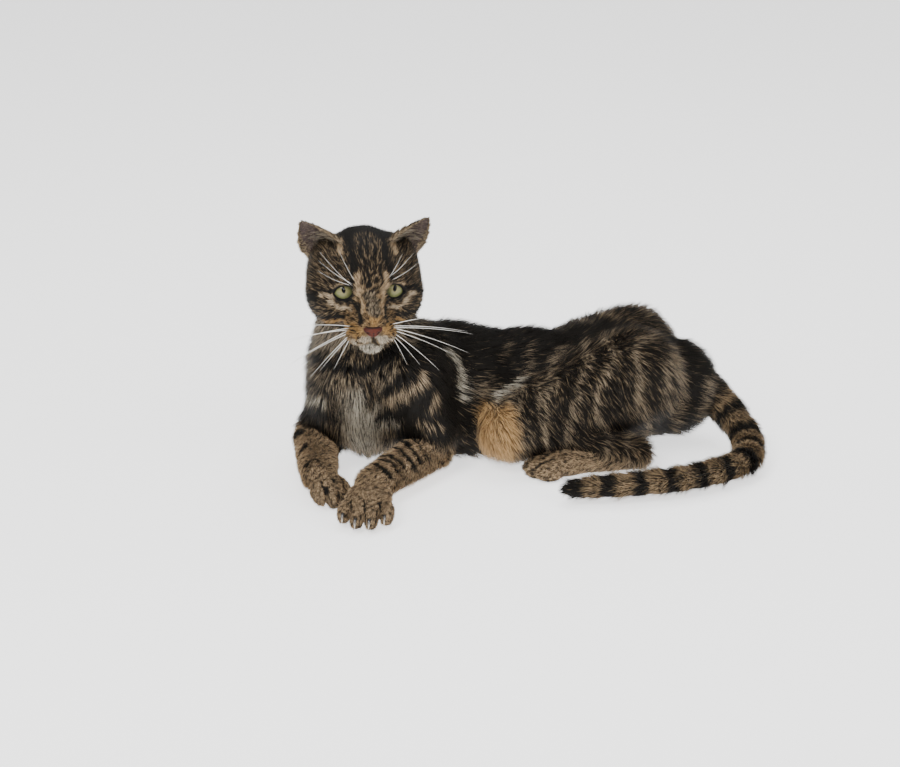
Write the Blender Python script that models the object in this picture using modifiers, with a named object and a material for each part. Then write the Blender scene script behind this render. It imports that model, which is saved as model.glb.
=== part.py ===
"""A life-size model of a young tabby cat, lying on its belly with its head up and its forelegs out in front.

Rounded forms for the muscle masses, each as thick as the flesh and its coat, are melted into one closed body
with a voxel Remesh and a Smooth. It is flattened where it meets the floor and parted into head, neck, trunk and
haunches along thin gaps. Forearms, feet, tail, ears, eyes, nose and claws are melted on their own, and
each is let into the body in a socket a little larger than itself. Lengths are in millimetres until at() and MM
turn them into metres.
"""

import math

import bmesh
import bpy
from mathutils import Matrix, Vector

MM = 0.001
MIDDLE = Vector((64.8, 9.2, 0.0))  # the middle of the body's box, measured from under the breastbone
GAP = 0.3  # between two solids that touch

# How far the tips of the coat stand out from the skin.
COAT = {"face": 2.5, "head": 5.0, "neck": 11.0, "chest": 11.0, "trunk": 9.5, "haunch": 8.0,
        "leg": 4.5, "paw": 2.5, "tail": 7.0}

# The head's own frame: where it sits, and how it is turned, in degrees.
HEAD_CENTRE = (-67.8, -10.0, 168.6)
HEAD_YAW, HEAD_PITCH, HEAD_ROLL = 9.0, -11.0, -1.0

SPINE = [  # centre of the trunk from the breastbone to the rump, and the radius of the body there
    ((-62, 30, 64), 44),
    ((-2, 50, 54), 45),
    ((60, 60, 49), 41),
    ((125, 60, 50), 42),
    ((180, 58, 52), 36),
]
SPINE_MIDDLE_Y = 60  # the hind legs lie the same distance to either side of this plane

FORELEGS = {  # withers, shoulder joint, end of the upper arm, elbow, wrist, toe tips, paw width
    "left": ((-24, 20, 90), (-36, -6, 82), (-18, -4, 36), (-16, -8, 21), (-60, -78, 19), (-67, -135, 10), 45),
    "right": ((-76, 28, 84), (-78, 0, 76), (-101, 16, 34), (-109, 12, 21), (-104, -56, 18), (-84, -91, 9), 31),
}
SHOULDER_R, UPPER_ARM_R, ELBOW_R, WRIST_R = 24, 19, 17, 13

HIP, KNEE, HOCK, HIND_TOE = (150, 30, 70), (48, 54, 36), (150, 64, 17), (60, 80, 10)  # y is out from the middle
HIP_R, KNEE_R, SHIN_R, HOCK_R, HIND_PAW_WIDTH = 36, 25, 19, 10, 34

TAIL = [  # centre line from the root to the tip, and the tail's own radius
    ((196, 60, 58), 14),
    ((226, 54, 36), 10.5),
    ((244, 22, 17), 9),
    ((236, -20, 14.5), 8.5),
    ((198, -50, 14), 8),
    ((148, -66, 13.5), 7.5),
    ((98, -72, 12), 6),
]
TAIL_SPLITS = {  # planes between the lengths of the tail, and the way towards its root
    "tail_root": ((242, 10, 16), (0.15, 1, 0)),
    "tail_middle": ((176, -56, 14), (0.95, 0.3, 0)),
}

EYE_R = 11.0
EYE_IN_HEAD = (18.8, 23.5, 1.0)  # out, ahead and up from the head's centre
EYE_OPENING = (9.8, 7.2)  # half of the gap between the lids, along and across it
EYE_SLANT, EYE_TURN = 14.0, 16.0  # degrees that the outer corner is raised, and that the opening faces outwards
EAR_ROOT_IN_HEAD = (31.0, -5.0, 20.0)
EAR_PROFILE = [(-6, 0), (-6, 17), (2, 20), (11, 19), (20, 14.5), (28, 8.5), (32, 4), (34, 0)]  # height, half width
EAR_FLATNESS = 0.5
EAR_SPLAY, EAR_TURN = 34.0, 30.0  # degrees away from upright, and outwards from straight ahead
EAR_SCOOP_FORWARD, EAR_WALL = 5.0, 4.0
NOSE_IN_HEAD, NOSE_RADII = (0.0, 60.8, -16.5), (8.0, 5.5, 5.0)
CLAW_LENGTH, CLAW_R, CLAW_DROOP = 9.0, 1.5, 40.0

COLOURS = {  # linear red, green, blue
    "coat_dark": (0.018, 0.016, 0.014),
    "coat_grey": (0.16, 0.13, 0.10),
    "coat_tan": (0.36, 0.24, 0.12),
    "ear_grey": (0.20, 0.16, 0.15),
    "nose_pink": (0.38, 0.12, 0.08),
    "eye_green": (0.22, 0.25, 0.10),
    "claw_horn": (0.05, 0.045, 0.04),
}
ROUGHNESS = {"eye_green": 0.05, "claw_horn": 0.25, "nose_pink": 0.45}
COAT_ROUGHNESS = 0.85

CORE_VOXEL, CORE_PASSES = 4.0, 22  # the coarse melt rounds the joins of the big forms
FINE_VOXEL, FINE_PASSES = 2.6, 3  # the fine one keeps muzzle and toes
TRIANGLES = {"body": 1800, "foreleg": 520, "hindfoot": 280, "tail": 330, "ear": 170}


# ---- places ---------------------------------------------------------------------------------------------


def at(x, y, z):
    """A place in the finished model's frame, in metres, from millimetres on the body's own grid."""
    return (Vector((x, y, z)) - MIDDLE) * MM


def head_frame():
    """Rotation whose columns are the head's right, ahead and up."""
    yaw, pitch = math.radians(HEAD_YAW), math.radians(HEAD_PITCH)
    ahead = Vector((math.sin(yaw) * math.cos(pitch), -math.cos(yaw) * math.cos(pitch), math.sin(pitch)))
    right = ahead.cross(Vector((0, 0, 1))).normalized()
    turn = Matrix.Rotation(math.radians(HEAD_ROLL), 3, ahead)
    right = turn @ right
    return Matrix((right, ahead, right.cross(ahead))).transposed()


HEAD = head_frame()


def in_head(left, ahead, up):
    """A place given in the head's own frame."""
    return at(*HEAD_CENTRE) + HEAD @ Vector((-left, ahead, up)) * MM


def frame_along(direction, up=Vector((0, 0, 1))):
    """Rotation whose columns are across, along and over a limb that runs that way."""
    along = direction.normalized()
    across = along.cross(up).normalized()
    return Matrix((across, along, across.cross(along))).transposed()


# ---- solids ---------------------------------------------------------------------------------------------


def add_object(name, shape, collection):
    """A named object holding the bmesh, shaded smooth."""
    mesh = bpy.data.meshes.new(name)
    shape.to_mesh(mesh)
    shape.free()
    mesh.shade_smooth()
    made = bpy.data.objects.new(name, mesh)
    collection.objects.link(made)
    return made


def ball(centre, radii, turn=None, segments=24):
    """An ellipsoid with the given three radii, turned by a rotation."""
    turn = Matrix.Identity(3) if turn is None else turn
    shape = bmesh.new()
    placed = Matrix.Translation(centre) @ turn.to_4x4() @ Matrix.Diagonal((*[r * MM for r in radii], 1))
    bmesh.ops.create_uvsphere(shape, u_segments=segments, v_segments=segments * 5 // 8, radius=1, matrix=placed)
    return shape


def taper(start, end, start_r, end_r, segments=20):
    """A limb form: the hull of a ball at each end."""
    shape = bmesh.new()
    for centre, r in ((start, start_r), (end, end_r)):
        placed = Matrix.Translation(centre)
        bmesh.ops.create_uvsphere(
            shape, u_segments=segments, v_segments=segments // 2, radius=r * MM, matrix=placed)
    hull = bmesh.ops.convex_hull(shape, input=shape.verts)
    inside = [e for e in hull["geom_interior"] + hull["geom_unused"] if isinstance(e, bmesh.types.BMVert)]
    bmesh.ops.delete(shape, geom=inside, context="VERTS")
    return shape


def block(low, high):
    """A box between two corners, in metres."""
    shape = bmesh.new()
    size = high - low
    placed = Matrix.Translation((low + high) / 2) @ Matrix.Diagonal((*size, 1))
    bmesh.ops.create_cube(shape, size=1, matrix=placed)
    return shape


# ---- forms ----------------------------------------------------------------------------------------------


def spine_forms():
    grow = COAT["trunk"]
    forms = [taper(at(*a), at(*b), ra + grow, rb + grow) for (a, ra), (b, rb) in zip(SPINE, SPINE[1:])]
    forms.append(taper(at(-20, 36, 31), at(100, 46, 29), 27 + grow, 27 + grow))
    grow = COAT["chest"]
    forms.append(ball(at(-68, 8, 66), (37 + grow, 34 + grow, 46 + grow)))
    grow = COAT["neck"]
    forms.append(taper(at(-66, 32, 92), at(-69, 14, 138), 41 + grow, 31 + grow))
    return forms


def skull_forms():
    grow = COAT["head"]
    forms = [
        ball(in_head(0, -2, 3), (33 + grow, 40 + grow, 31 + grow), HEAD),
        ball(in_head(0, 16, 6), (27 + grow, 22 + grow, 21 + grow), HEAD),
        ball(in_head(0, 8, -20), (25 + grow, 28 + grow, 16 + grow), HEAD),
    ]
    for side in (-1, 1):
        forms.append(ball(in_head(side * 25, 11, -11), (19 + grow, 24 + grow, 20 + grow), HEAD))
        forms.append(ball(in_head(side * 27, -4, 4), (14 + grow, 22 + grow, 22 + grow), HEAD))
    return forms


def muzzle_forms():
    grow = COAT["face"]
    forms = [
        taper(in_head(0, 29, 0), in_head(0, 54, -13), 13 + grow, 8 + grow),
        ball(in_head(0, 41, -20), (18 + grow, 18 + grow, 13 + grow), HEAD),
        ball(in_head(0, 46, -31), (9 + grow, 10 + grow, 7 + grow), HEAD),
    ]
    for side in (-1, 1):
        forms.append(ball(in_head(side * 9, 51, -23), (10 + grow, 11 + grow, 8.5 + grow), HEAD))
    return forms


def shoulder_forms(leg):
    withers, shoulder, arm_end = (at(*p) for p in leg[:3])
    grow = COAT["trunk"]
    return [
        taper(withers, shoulder, SHOULDER_R + grow, SHOULDER_R + grow),
        taper(shoulder, arm_end, SHOULDER_R + grow, UPPER_ARM_R + COAT["leg"]),
    ]


def beside_spine(place, side):
    """A hind leg's landmark on the left (-1) or right (+1) of the trunk."""
    x, out, z = place
    return at(x, SPINE_MIDDLE_Y + side * out, z)


def haunch_forms(side):
    hip, knee, hock = (beside_spine(p, side) for p in (HIP, KNEE, HOCK))
    grow = COAT["haunch"]
    return [
        taper(hip, knee, HIP_R + grow, KNEE_R + grow),
        taper(knee, hock, SHIN_R + grow, HOCK_R + COAT["leg"]),
    ]


def paw_forms(wrist, toe, width, grow, toes=4):
    """A flattened foot with a row of toes, the outer ones set back."""
    turn = frame_along(toe - wrist)
    length = (toe - wrist).length / MM
    middle = wrist + turn @ Vector((0, 0.42 * length, 0)) * MM
    forms = [ball(middle, (0.40 * width + grow, 0.42 * length + grow, 10.5 + grow), turn)]
    for step in toe_steps(toes):
        centre = toe_place(wrist, toe, width, step)
        forms.append(ball(centre, (0.13 * width + grow, 11 + grow, 7.5 + grow), turn, 16))
    return forms


def toe_steps(toes=4):
    """Places of the toes across a paw, counted from its middle: -1.5, -0.5, 0.5 and 1.5."""
    return [number - (toes - 1) / 2 for number in range(toes)]


def toe_place(wrist, toe, width, step, ahead=0.0, over=-2.0):
    """A point on one toe, ahead of its middle and over it."""
    turn = frame_along(toe - wrist)
    length = (toe - wrist).length / MM
    set_back = 7 if abs(step) > 1 else 0
    return wrist + turn @ Vector((step * width * 0.235, length - 11 - set_back + ahead, over)) * MM


def foreleg_forms(leg, extra=0.0):
    elbow, wrist, toe = (at(*p) for p in leg[3:6])
    grow = COAT["leg"] + extra
    return [taper(elbow, wrist, ELBOW_R + grow, WRIST_R + grow)] + paw_forms(
        wrist, toe, leg[6], COAT["paw"] + extra)


def hindpaw_line(side):
    """The wrist end and the toe tips of a hind paw."""
    hock, toe = (beside_spine(p, side) for p in (HOCK, HIND_TOE))
    start = hock.lerp(toe, 0.45)
    start.z = 12 * MM
    return start, toe


def hindfoot_forms(side, extra=0.0):
    hock = beside_spine(HOCK, side)
    start, toe = hindpaw_line(side)
    heel = Vector((hock.x, hock.y, 14 * MM))
    grow = COAT["leg"] + extra
    return [taper(heel, heel.lerp(start, 1.3), HOCK_R + grow, HOCK_R + grow)] + paw_forms(
        start, toe, HIND_PAW_WIDTH, COAT["paw"] + extra)


def tail_forms():
    """Tapers along a Catmull-Rom curve through the tail's stations."""
    grow = COAT["tail"]
    rows = [Vector((*place, radius)) for place, radius in TAIL]
    rows = [2 * rows[0] - rows[1]] + rows + [2 * rows[-1] - rows[-2]]
    curve = []
    for a, b, c, d in zip(rows, rows[1:], rows[2:], rows[3:]):
        for u in (0, 1 / 3, 2 / 3):
            curve.append(0.5 * (2 * b + (c - a) * u + (2 * a - 5 * b + 4 * c - d) * u ** 2
                                + (3 * b - 3 * c + d - a) * u ** 3))
    curve.append(rows[-2])
    return [taper(at(*a[:3]), at(*b[:3]), a[3] + grow, b[3] + grow, 16) for a, b in zip(curve, curve[1:])]


def ear_horn(side, inset=0.0, forward=0.0):
    """The outside of an ear: a rounded horn spun from EAR_PROFILE and flattened. inset makes the scoop."""
    left, ahead, up = EAR_ROOT_IN_HEAD
    turn = (HEAD @ Matrix.Rotation(math.radians(-side * EAR_SPLAY), 3, "Y")
            @ Matrix.Rotation(math.radians(side * EAR_TURN), 3, "Z"))
    placed = (Matrix.Translation(in_head(side * left, ahead, up)) @ turn.to_4x4()
              @ Matrix.Translation(Vector((0, forward, 0)) * MM) @ Matrix.Diagonal((1, EAR_FLATNESS, 1, 1)))
    shape = bmesh.new()
    profile = [shape.verts.new(Vector((max(r - inset, 0), 0, z)) * MM) for z, r in EAR_PROFILE]
    edges = [shape.edges.new(pair) for pair in zip(profile, profile[1:])]
    bmesh.ops.spin(shape, geom=profile + edges, cent=(0, 0, 0), axis=(0, 0, 1), angle=math.tau, steps=24)
    bmesh.ops.remove_doubles(shape, verts=shape.verts, dist=0.0001)
    shape.transform(placed)
    bmesh.ops.recalc_face_normals(shape, faces=shape.faces)
    return shape


# ---- melting and cutting --------------------------------------------------------------------------------


def modified(target, kind, **settings):
    """Adds a modifier and makes it permanent."""
    modifier = target.modifiers.new(kind.title(), kind)
    for key, value in settings.items():
        setattr(modifier, key, value)
    graph = bpy.context.evaluated_depsgraph_get()
    mesh = bpy.data.meshes.new_from_object(target.evaluated_get(graph))
    target.modifiers.clear()
    target.data = mesh
    return target


def melt(name, forms, collection, voxel=FINE_VOXEL, passes=FINE_PASSES, triangles=None):
    """Joins overlapping closed forms into one smooth closed surface."""
    merged = bmesh.new()
    for form in forms:
        mesh = bpy.data.meshes.new("form")
        form.to_mesh(mesh)
        form.free()
        merged.from_mesh(mesh)
        bpy.data.meshes.remove(mesh)
    made = add_object(name, merged, collection)
    modified(made, "REMESH", mode="VOXEL", voxel_size=voxel * MM, use_smooth_shade=True)
    modified(made, "SMOOTH", factor=0.5, iterations=passes)
    return decimated(made, triangles) if triangles else made


def decimated(target, triangles):
    """Thins the surface down to about that many triangles."""
    now = sum(len(p.vertices) - 2 for p in target.data.polygons)
    return modified(target, "DECIMATE", ratio=min(1, triangles / now))


def cut(target, cutter, operation="DIFFERENCE"):
    """Applies a Boolean with the EXACT solver."""
    cutter.hide_render = True
    cutter.display_type = "WIRE"
    return modified(target, "BOOLEAN", operation=operation, solver="EXACT", object=cutter)


def flattened(target, cutters):
    """Cuts off what is below the floor, so that the cat rests on flats at one level."""
    floor = add_object("floor_cutter", block(Vector((-1, -1, -0.1)), Vector((1, 1, 0))), cutters)
    return cut(target, floor)


def parted(body, name, region, collection, cutters):
    """Takes what lies in a region out of the body as a new object, with a gap all round.

    region(extra) makes the region's solid, grown by extra millimetres."""
    taken = body.copy()
    taken.data = body.data.copy()
    taken.name = name
    collection.objects.link(taken)
    taken.hide_render = False
    cut(taken, add_object(name + "_region", region(0), cutters), "INTERSECT")
    cut(body, add_object(name + "_region_out", region(GAP), cutters))
    for made in (taken, body):
        keep_largest(made)
    return taken


def keep_largest(target):
    """Drops loose crumbs that a cut left."""
    shape = bmesh.new()
    shape.from_mesh(target.data)
    left, groups = set(shape.verts), []
    while left:
        found, todo = set(), [left.pop()]
        while todo:
            vert = todo.pop()
            found.add(vert)
            near = {edge.other_vert(vert) for edge in vert.link_edges} & left
            left -= near
            todo += near
        groups.append(found)
    groups.sort(key=len)
    crumbs = [vert for group in groups[:-1] for vert in group]
    bmesh.ops.delete(shape, geom=crumbs, context="VERTS")
    shape.to_mesh(target.data)
    shape.free()


def half_space(point, normal):
    """A region: all that lies beyond a plane."""
    def region(extra):
        turn = Vector(normal).to_track_quat("Z", "Y").to_matrix().to_4x4()
        shape = block(Vector((-1, -1, 0)), Vector((1, 1, 1)))
        shape.transform(Matrix.Translation(point - Vector(normal).normalized() * extra * MM) @ turn)
        return shape

    return region


def round_region(centre, radii, segments=20):
    """A region: an ellipsoid."""
    def region(extra):
        return ball(centre, [r + extra for r in radii], segments=segments)

    return region


# ---- the parts ------------------------------------------------------------------------------------------


def paint(target, colour):
    """Gives the object a plain material of its own."""
    material = bpy.data.materials.new(target.name)
    material.use_nodes = True
    shader = material.node_tree.nodes["Principled BSDF"]
    shader.inputs["Base Color"].default_value = (*COLOURS[colour], 1)
    shader.inputs["Roughness"].default_value = ROUGHNESS.get(colour, COAT_ROUGHNESS)
    shader.inputs["Metallic"].default_value = 0
    material.diffuse_color = (*COLOURS[colour], 1)
    target.data.materials.clear()
    target.data.materials.append(material)
    target.data.shade_smooth()


def main_body(cutters):
    """Trunk, neck, head and haunches as one closed surface."""
    forms = spine_forms() + skull_forms()
    for leg in FORELEGS.values():
        forms += shoulder_forms(leg)
    for side in (-1, 1):
        forms += haunch_forms(side)
    core = melt("core", forms, cutters, CORE_VOXEL, CORE_PASSES)
    shape = bmesh.new()
    shape.from_mesh(core.data)
    bpy.data.objects.remove(core)
    return flattened(melt("body", [shape] + muzzle_forms(), cutters, triangles=TRIANGLES["body"]), cutters)


def grown(target, extra, cutters):
    """A copy of the object, pushed out along its normals, for cutting its socket."""
    copy = target.copy()
    copy.data = target.data.copy()
    copy.name = target.name + "_socket"
    cutters.objects.link(copy)
    return modified(copy, "DISPLACE", strength=extra * MM, mid_level=0.0)


def let_in(target, hosts, cutters):
    """Cuts a socket for the target, with a gap round it, into each host that it touches."""
    for host in hosts:
        cut(host, grown(target, 2 * GAP, cutters))
        keep_largest(host)


def ear(side, name, collection, cutters):
    """A cupped ear: a flattened cone with a smaller one scooped out of its front."""
    made = add_object(name, ear_horn(side), collection)
    cut(made, add_object(name + "_scoop", ear_horn(side, EAR_WALL, EAR_SCOOP_FORWARD), cutters))
    modified(made, "REMESH", mode="VOXEL", voxel_size=1.5 * MM, use_smooth_shade=True)
    modified(made, "SMOOTH", factor=0.5, iterations=2)
    return decimated(made, TRIANGLES["ear"])


def eye(side, name, head, collection, cutters):
    """An eyeball in a socket that opens between the lids."""
    left, ahead, up = EYE_IN_HEAD
    centre = in_head(side * left, ahead, up)
    ball_object = add_object(name, ball(centre, (EYE_R, EYE_R, EYE_R), HEAD, 14), collection)
    socket_r = EYE_R + GAP
    cut(head, add_object(name + "_socket", ball(centre, (socket_r, socket_r, socket_r), HEAD, 14), cutters))
    along, across = EYE_OPENING
    slant = (HEAD @ Matrix.Rotation(math.radians(side * EYE_TURN), 3, "Z")
             @ Matrix.Rotation(math.radians(side * EYE_SLANT), 3, "Y"))
    opening = ball(centre + slant @ Vector((0, 14, 0)) * MM, (along, 13, across), slant, 14)
    cut(head, add_object(name + "_opening", opening, cutters))
    return ball_object


def claws(foot, wrist, toe, width, name, collection, cutters):
    """One small horn claw let into the tip of each toe, clear of the floor."""
    turn = frame_along(toe - wrist) @ Matrix.Rotation(math.radians(-90 - CLAW_DROOP), 3, "X")
    made = []
    for number, step in enumerate(toe_steps()):
        placed = Matrix.Translation(toe_place(wrist, toe, width, step, 9.0, 1.5)) @ turn.to_4x4()
        shape = bmesh.new()
        bmesh.ops.create_cone(shape, cap_ends=True, segments=6, radius1=CLAW_R * MM, radius2=0.4 * MM,
                              depth=CLAW_LENGTH * MM, matrix=placed)
        made.append(add_object(f"{name}_{number + 1}", shape, collection))
        let_in(made[-1], [foot], cutters)
    return made


def build():
    for old in list(bpy.data.objects):
        bpy.data.objects.remove(old)
    collection = bpy.data.collections.new("cat")
    cutters = bpy.data.collections.new("cutters")
    for made in (collection, cutters):
        bpy.context.scene.collection.children.link(made)

    # The body, and what is parted off it.
    trunk = main_body(cutters)
    head = parted(trunk, "head", half_space(at(-69, 0, 138), (0, -0.26, 0.966)), collection, cutters)
    neck = parted(trunk, "neck", round_region(at(-68, 4, 140), (82, 70, 50)), collection, cutters)
    thighs = {}
    for side, name in ((-1, "left"), (1, "right")):
        region = round_region(beside_spine((98, 76, 40), side), (104, 50, 92))
        thighs[name] = parted(trunk, "thigh_" + name, region, collection, cutters)
        paint(thighs[name], "coat_tan")
    cutters.objects.unlink(trunk)
    collection.objects.link(trunk)
    trunk.name = "trunk"
    trunk.hide_render = False
    paint(trunk, "coat_dark")
    paint(head, "coat_grey")
    paint(neck, "coat_grey")

    # Forelegs, each with its paw and claws.
    legs = {}
    for name, leg in FORELEGS.items():
        legs[name] = flattened(melt("foreleg_" + name, foreleg_forms(leg), collection,
                                    triangles=TRIANGLES["foreleg"]), cutters)
    let_in(legs["left"], [legs["right"]], cutters)
    for name, leg in FORELEGS.items():
        let_in(legs[name], [trunk, neck, thighs["left"]], cutters)
        wrist, toe = at(*leg[4]), at(*leg[5])
        paw = parted(legs[name], "forepaw_" + name, half_space(wrist.lerp(toe, 0.12), toe - wrist),
                     collection, cutters)
        paint(paw, "coat_tan")
        paint(legs[name], "coat_tan")
        if name == "left":  # the right paw's claws are tucked away under the left paw
            for claw in claws(paw, wrist, toe, leg[6], "foreclaw_" + name, collection, cutters):
                paint(claw, "claw_horn")

    # Hind feet.
    for side, name in ((-1, "left"), (1, "right")):
        foot = flattened(melt("hindpaw_" + name, hindfoot_forms(side), collection,
                              triangles=TRIANGLES["hindfoot"]), cutters)
        let_in(foot, [thighs[name], trunk, legs[name]], cutters)
        paint(foot, "coat_tan")

    # The tail, from its root to its tip.
    tail = flattened(melt("tail_tip", tail_forms(), collection, triangles=TRIANGLES["tail"]), cutters)
    let_in(tail, [trunk], cutters)
    for name, (place, rootward) in TAIL_SPLITS.items():
        paint(parted(tail, name, half_space(at(*place), rootward), collection, cutters), "coat_dark")
    paint(tail, "coat_dark")

    # Ears, eyes and nose.
    for side, name in ((1, "left"), (-1, "right")):
        flap = ear(side, "ear_" + name, collection, cutters)
        let_in(flap, [head], cutters)
        paint(flap, "ear_grey")
        paint(eye(side, "eye_" + name, head, collection, cutters), "eye_green")
    nose = add_object("nose", ball(in_head(*NOSE_IN_HEAD), NOSE_RADII, HEAD, 12), collection)
    let_in(nose, [head], cutters)
    paint(nose, "nose_pink")
    cutters.hide_render = True


build()
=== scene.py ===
"""The looks of a life-size tabby cat that lies on its belly with its head up.

One skin is a smooth union of rounded forms, meshed at the level where their distance is nought. It lies under the
outline of the solids by the coat's depth, and carries the same markings as the coat: tufts of solid spikes that
follow the lie of the fur. Eyes, lid rims, nose, claws and whiskers are pieces of their own. Lengths are in
millimetres, measured like the solids from under the breastbone, and to_frame() turns them into the frame's metres.
"""

import math

import bpy
import numpy as np
import openvdb
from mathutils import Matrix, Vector


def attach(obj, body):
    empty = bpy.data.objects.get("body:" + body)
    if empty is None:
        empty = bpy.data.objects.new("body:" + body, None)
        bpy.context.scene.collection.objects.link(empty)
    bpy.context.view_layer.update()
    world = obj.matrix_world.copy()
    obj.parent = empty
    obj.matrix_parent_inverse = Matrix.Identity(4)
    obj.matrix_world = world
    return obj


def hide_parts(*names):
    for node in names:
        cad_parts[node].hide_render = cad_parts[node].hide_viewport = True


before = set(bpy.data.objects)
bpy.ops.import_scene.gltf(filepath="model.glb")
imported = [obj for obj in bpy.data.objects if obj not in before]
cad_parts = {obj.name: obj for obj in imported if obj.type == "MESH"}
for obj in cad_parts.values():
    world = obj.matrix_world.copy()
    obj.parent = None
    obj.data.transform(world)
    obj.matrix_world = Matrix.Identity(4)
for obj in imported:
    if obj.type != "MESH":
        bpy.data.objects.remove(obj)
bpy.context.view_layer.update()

MM = 0.001
MIDDLE = np.array((64.8, 9.2, 0.0))


# ---- landmarks -----------------------------------------------------------------------------------------------

HEAD_CENTRE = np.array((-67.8, -10.0, 168.6))
HEAD_YAW, HEAD_PITCH, HEAD_ROLL = 9.0, -11.0, -1.0
EYE_R, EYE_IN_HEAD = 11.0, (18.8, 23.0, 1.0)
GAZE_OUT, GAZE_UP = 4.0, 12.0  # degrees away from the head's own ahead
LID_HALF = (8.8, 6.2)  # half length and half height of the gap between the lids
LID_SLANT = 13.0
SKIN_OVER_FLOOR, HAIR_OVER_FLOOR = 0.6, 0.2
NOSE_IN_HEAD = (0.0, 60.0, -16.5)
# the mouth's line, left, ahead and up from the head's centre: out to one side, up to the nose and out to the other
MOUTH = ((-13, 56, -25.5), (-8, 59.5, -27.5), (-3, 59, -29), (0.5, 60, -27), (0.5, 62, -21), (0.5, 60, -27),
         (4, 59, -29), (8.5, 59, -28.5), (13, 56, -26.5))
EAR_ROOT = (31.0, -5.0, 20.0)
EAR_SPLAY, EAR_TURN, EAR_HEIGHT = 34.0, 30.0, 33.0

SPINE = [((-62, 30, 64), 44), ((-2, 50, 54), 45), ((60, 60, 49), 41), ((125, 60, 50), 42), ((180, 58, 52), 36)]
SPINE_MIDDLE_Y = 60.0
FORELEGS = {  # withers, shoulder, upper arm's end, elbow, wrist, toe tips, paw width
    1: ((-24, 20, 90), (-36, -6, 82), (-18, -4, 36), (-16, -8, 21), (-60, -78, 19), (-67, -135, 10), 45),
    -1: ((-76, 28, 84), (-78, 0, 76), (-101, 16, 34), (-109, 12, 21), (-104, -56, 18), (-84, -91, 9), 31),
}
TOES, OUTER_TOES_BACK = (-1.5, -0.5, 0.5, 1.5), 7  # toes in steps from the paw's middle
HIP, KNEE, HOCK, HIND_TOE = (150, 30, 70), (48, 54, 36), (150, 64, 17), (60, 80, 10)
HIND_PAW_WIDTH = 34
TAIL = [((196, 60, 58), 14), ((226, 54, 36), 10.5), ((244, 22, 17), 9), ((236, -20, 14.5), 8.5),
        ((198, -50, 14), 8), ((148, -66, 13.5), 7.5), ((98, -72, 12), 6)]


def unit(v):
    v = np.asarray(v, float)
    return v / np.maximum(np.linalg.norm(v, axis=-1, keepdims=True), 1e-9)


def turned(v, axis, degrees):
    """v turned about an axis by the right-hand rule."""
    a = math.radians(degrees)
    axis = unit(axis)
    return v * math.cos(a) + np.cross(axis, v) * math.sin(a) + axis * (v @ axis) * (1 - math.cos(a))


def head_axes():
    """Rows: the head's left, ahead and up."""
    yaw, pitch = np.radians((HEAD_YAW, HEAD_PITCH))
    ahead = np.array((math.sin(yaw) * math.cos(pitch), -math.cos(yaw) * math.cos(pitch), math.sin(pitch)))
    right = turned(unit(np.cross(ahead, (0, 0, 1))), ahead, HEAD_ROLL)
    return np.array((-right, ahead, np.cross(right, ahead)))


HEAD = head_axes()


def in_head(left, ahead, up):
    return HEAD_CENTRE + np.array((left, ahead, up), float) @ HEAD


def head_places(points):
    """The points' places left, ahead and up from the head's centre."""
    return (points - HEAD_CENTRE) @ HEAD.T


def beside_spine(place, side):
    x, out, z = place
    return np.array((x, SPINE_MIDDLE_Y + side * out, z), float)


def to_frame(points):
    return (np.asarray(points, float) - MIDDLE) * MM


# ---- forms: each gives the distance from its surface, negative inside ----------------------------------------

FORMS = []


class Form:
    """A rounded form. part names its share of the coat, lie is the way its hair points, blend how far it melts."""

    def __init__(self, part, blend, centre, axes, radii, lie, reach):
        self.part, self.blend, self.centre = part, blend, np.asarray(centre, float)
        self.axes, self.radii, self.lie = np.asarray(axes, float), radii, np.asarray(lie, float)
        self.low, self.high = self.centre - reach, self.centre + reach
        FORMS.append(self)


class Egg(Form):
    """An ellipsoid: k0 (k0 - 1) / k1, with k0 = |q / r|, k1 = |q / r^2| and q the place in its own axes."""

    def __init__(self, part, blend, centre, radii, axes=None, lie=(0, 0, -1)):
        axes = np.eye(3) if axes is None else np.asarray(axes, float)
        radii = np.asarray(radii, float)
        reach = np.sqrt(((axes * radii[:, None]) ** 2).sum(0))
        super().__init__(part, blend, centre, axes, radii, lie, reach)

    def distance(self, points):
        q = (points - self.centre) @ self.axes.T
        k0 = np.linalg.norm(q / self.radii, axis=-1)
        return k0 * (k0 - 1) / (np.linalg.norm(q / self.radii ** 2, axis=-1) + 1e-9)


class Limb(Form):
    """A round-ended taper from a to b: |p - a - h (b - a)| - r(h), with h the share of the way, held in 0 to 1."""

    def __init__(self, part, blend, a, b, ra, rb, lie=None):
        self.a, self.b, self.ra, self.rb = np.asarray(a, float), np.asarray(b, float), ra, rb
        along = unit(self.b - self.a)
        across = unit(np.cross(along, (0.01, 0.02, 1)))
        centre = (self.a + self.b) / 2
        reach = np.abs(self.b - self.a) / 2 + max(ra, rb)
        super().__init__(part, blend, centre, (across, along, np.cross(across, along)), (ra, rb),
                         along if lie is None else lie, reach)

    def share(self, points):
        way = self.b - self.a
        return np.clip((points - self.a) @ way / (way @ way), 0, 1)

    def distance(self, points):
        h = self.share(points)
        middle = self.a + h[..., None] * (self.b - self.a)
        return np.linalg.norm(points - middle, axis=-1) - (self.ra + h * (self.rb - self.ra))


def body_forms():
    for (a, ra), (b, rb) in zip(SPINE, SPINE[1:]):
        Limb("trunk", 20, a, b, ra, rb, unit(np.subtract(b, a)) + (0, 0, -0.25))
    Limb("trunk", 20, (-20, 36, 31), (100, 46, 29), 27, 27, (0.9, -0.1, -0.3))
    Egg("neck", 20, (-68, 8, 66), (37, 34, 46), lie=(0, -0.15, -1))
    Limb("neck", 20, (-69, 14, 138), (-66, 32, 92), 31, 41, lie=(0.03, 0.25, -1))


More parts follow.
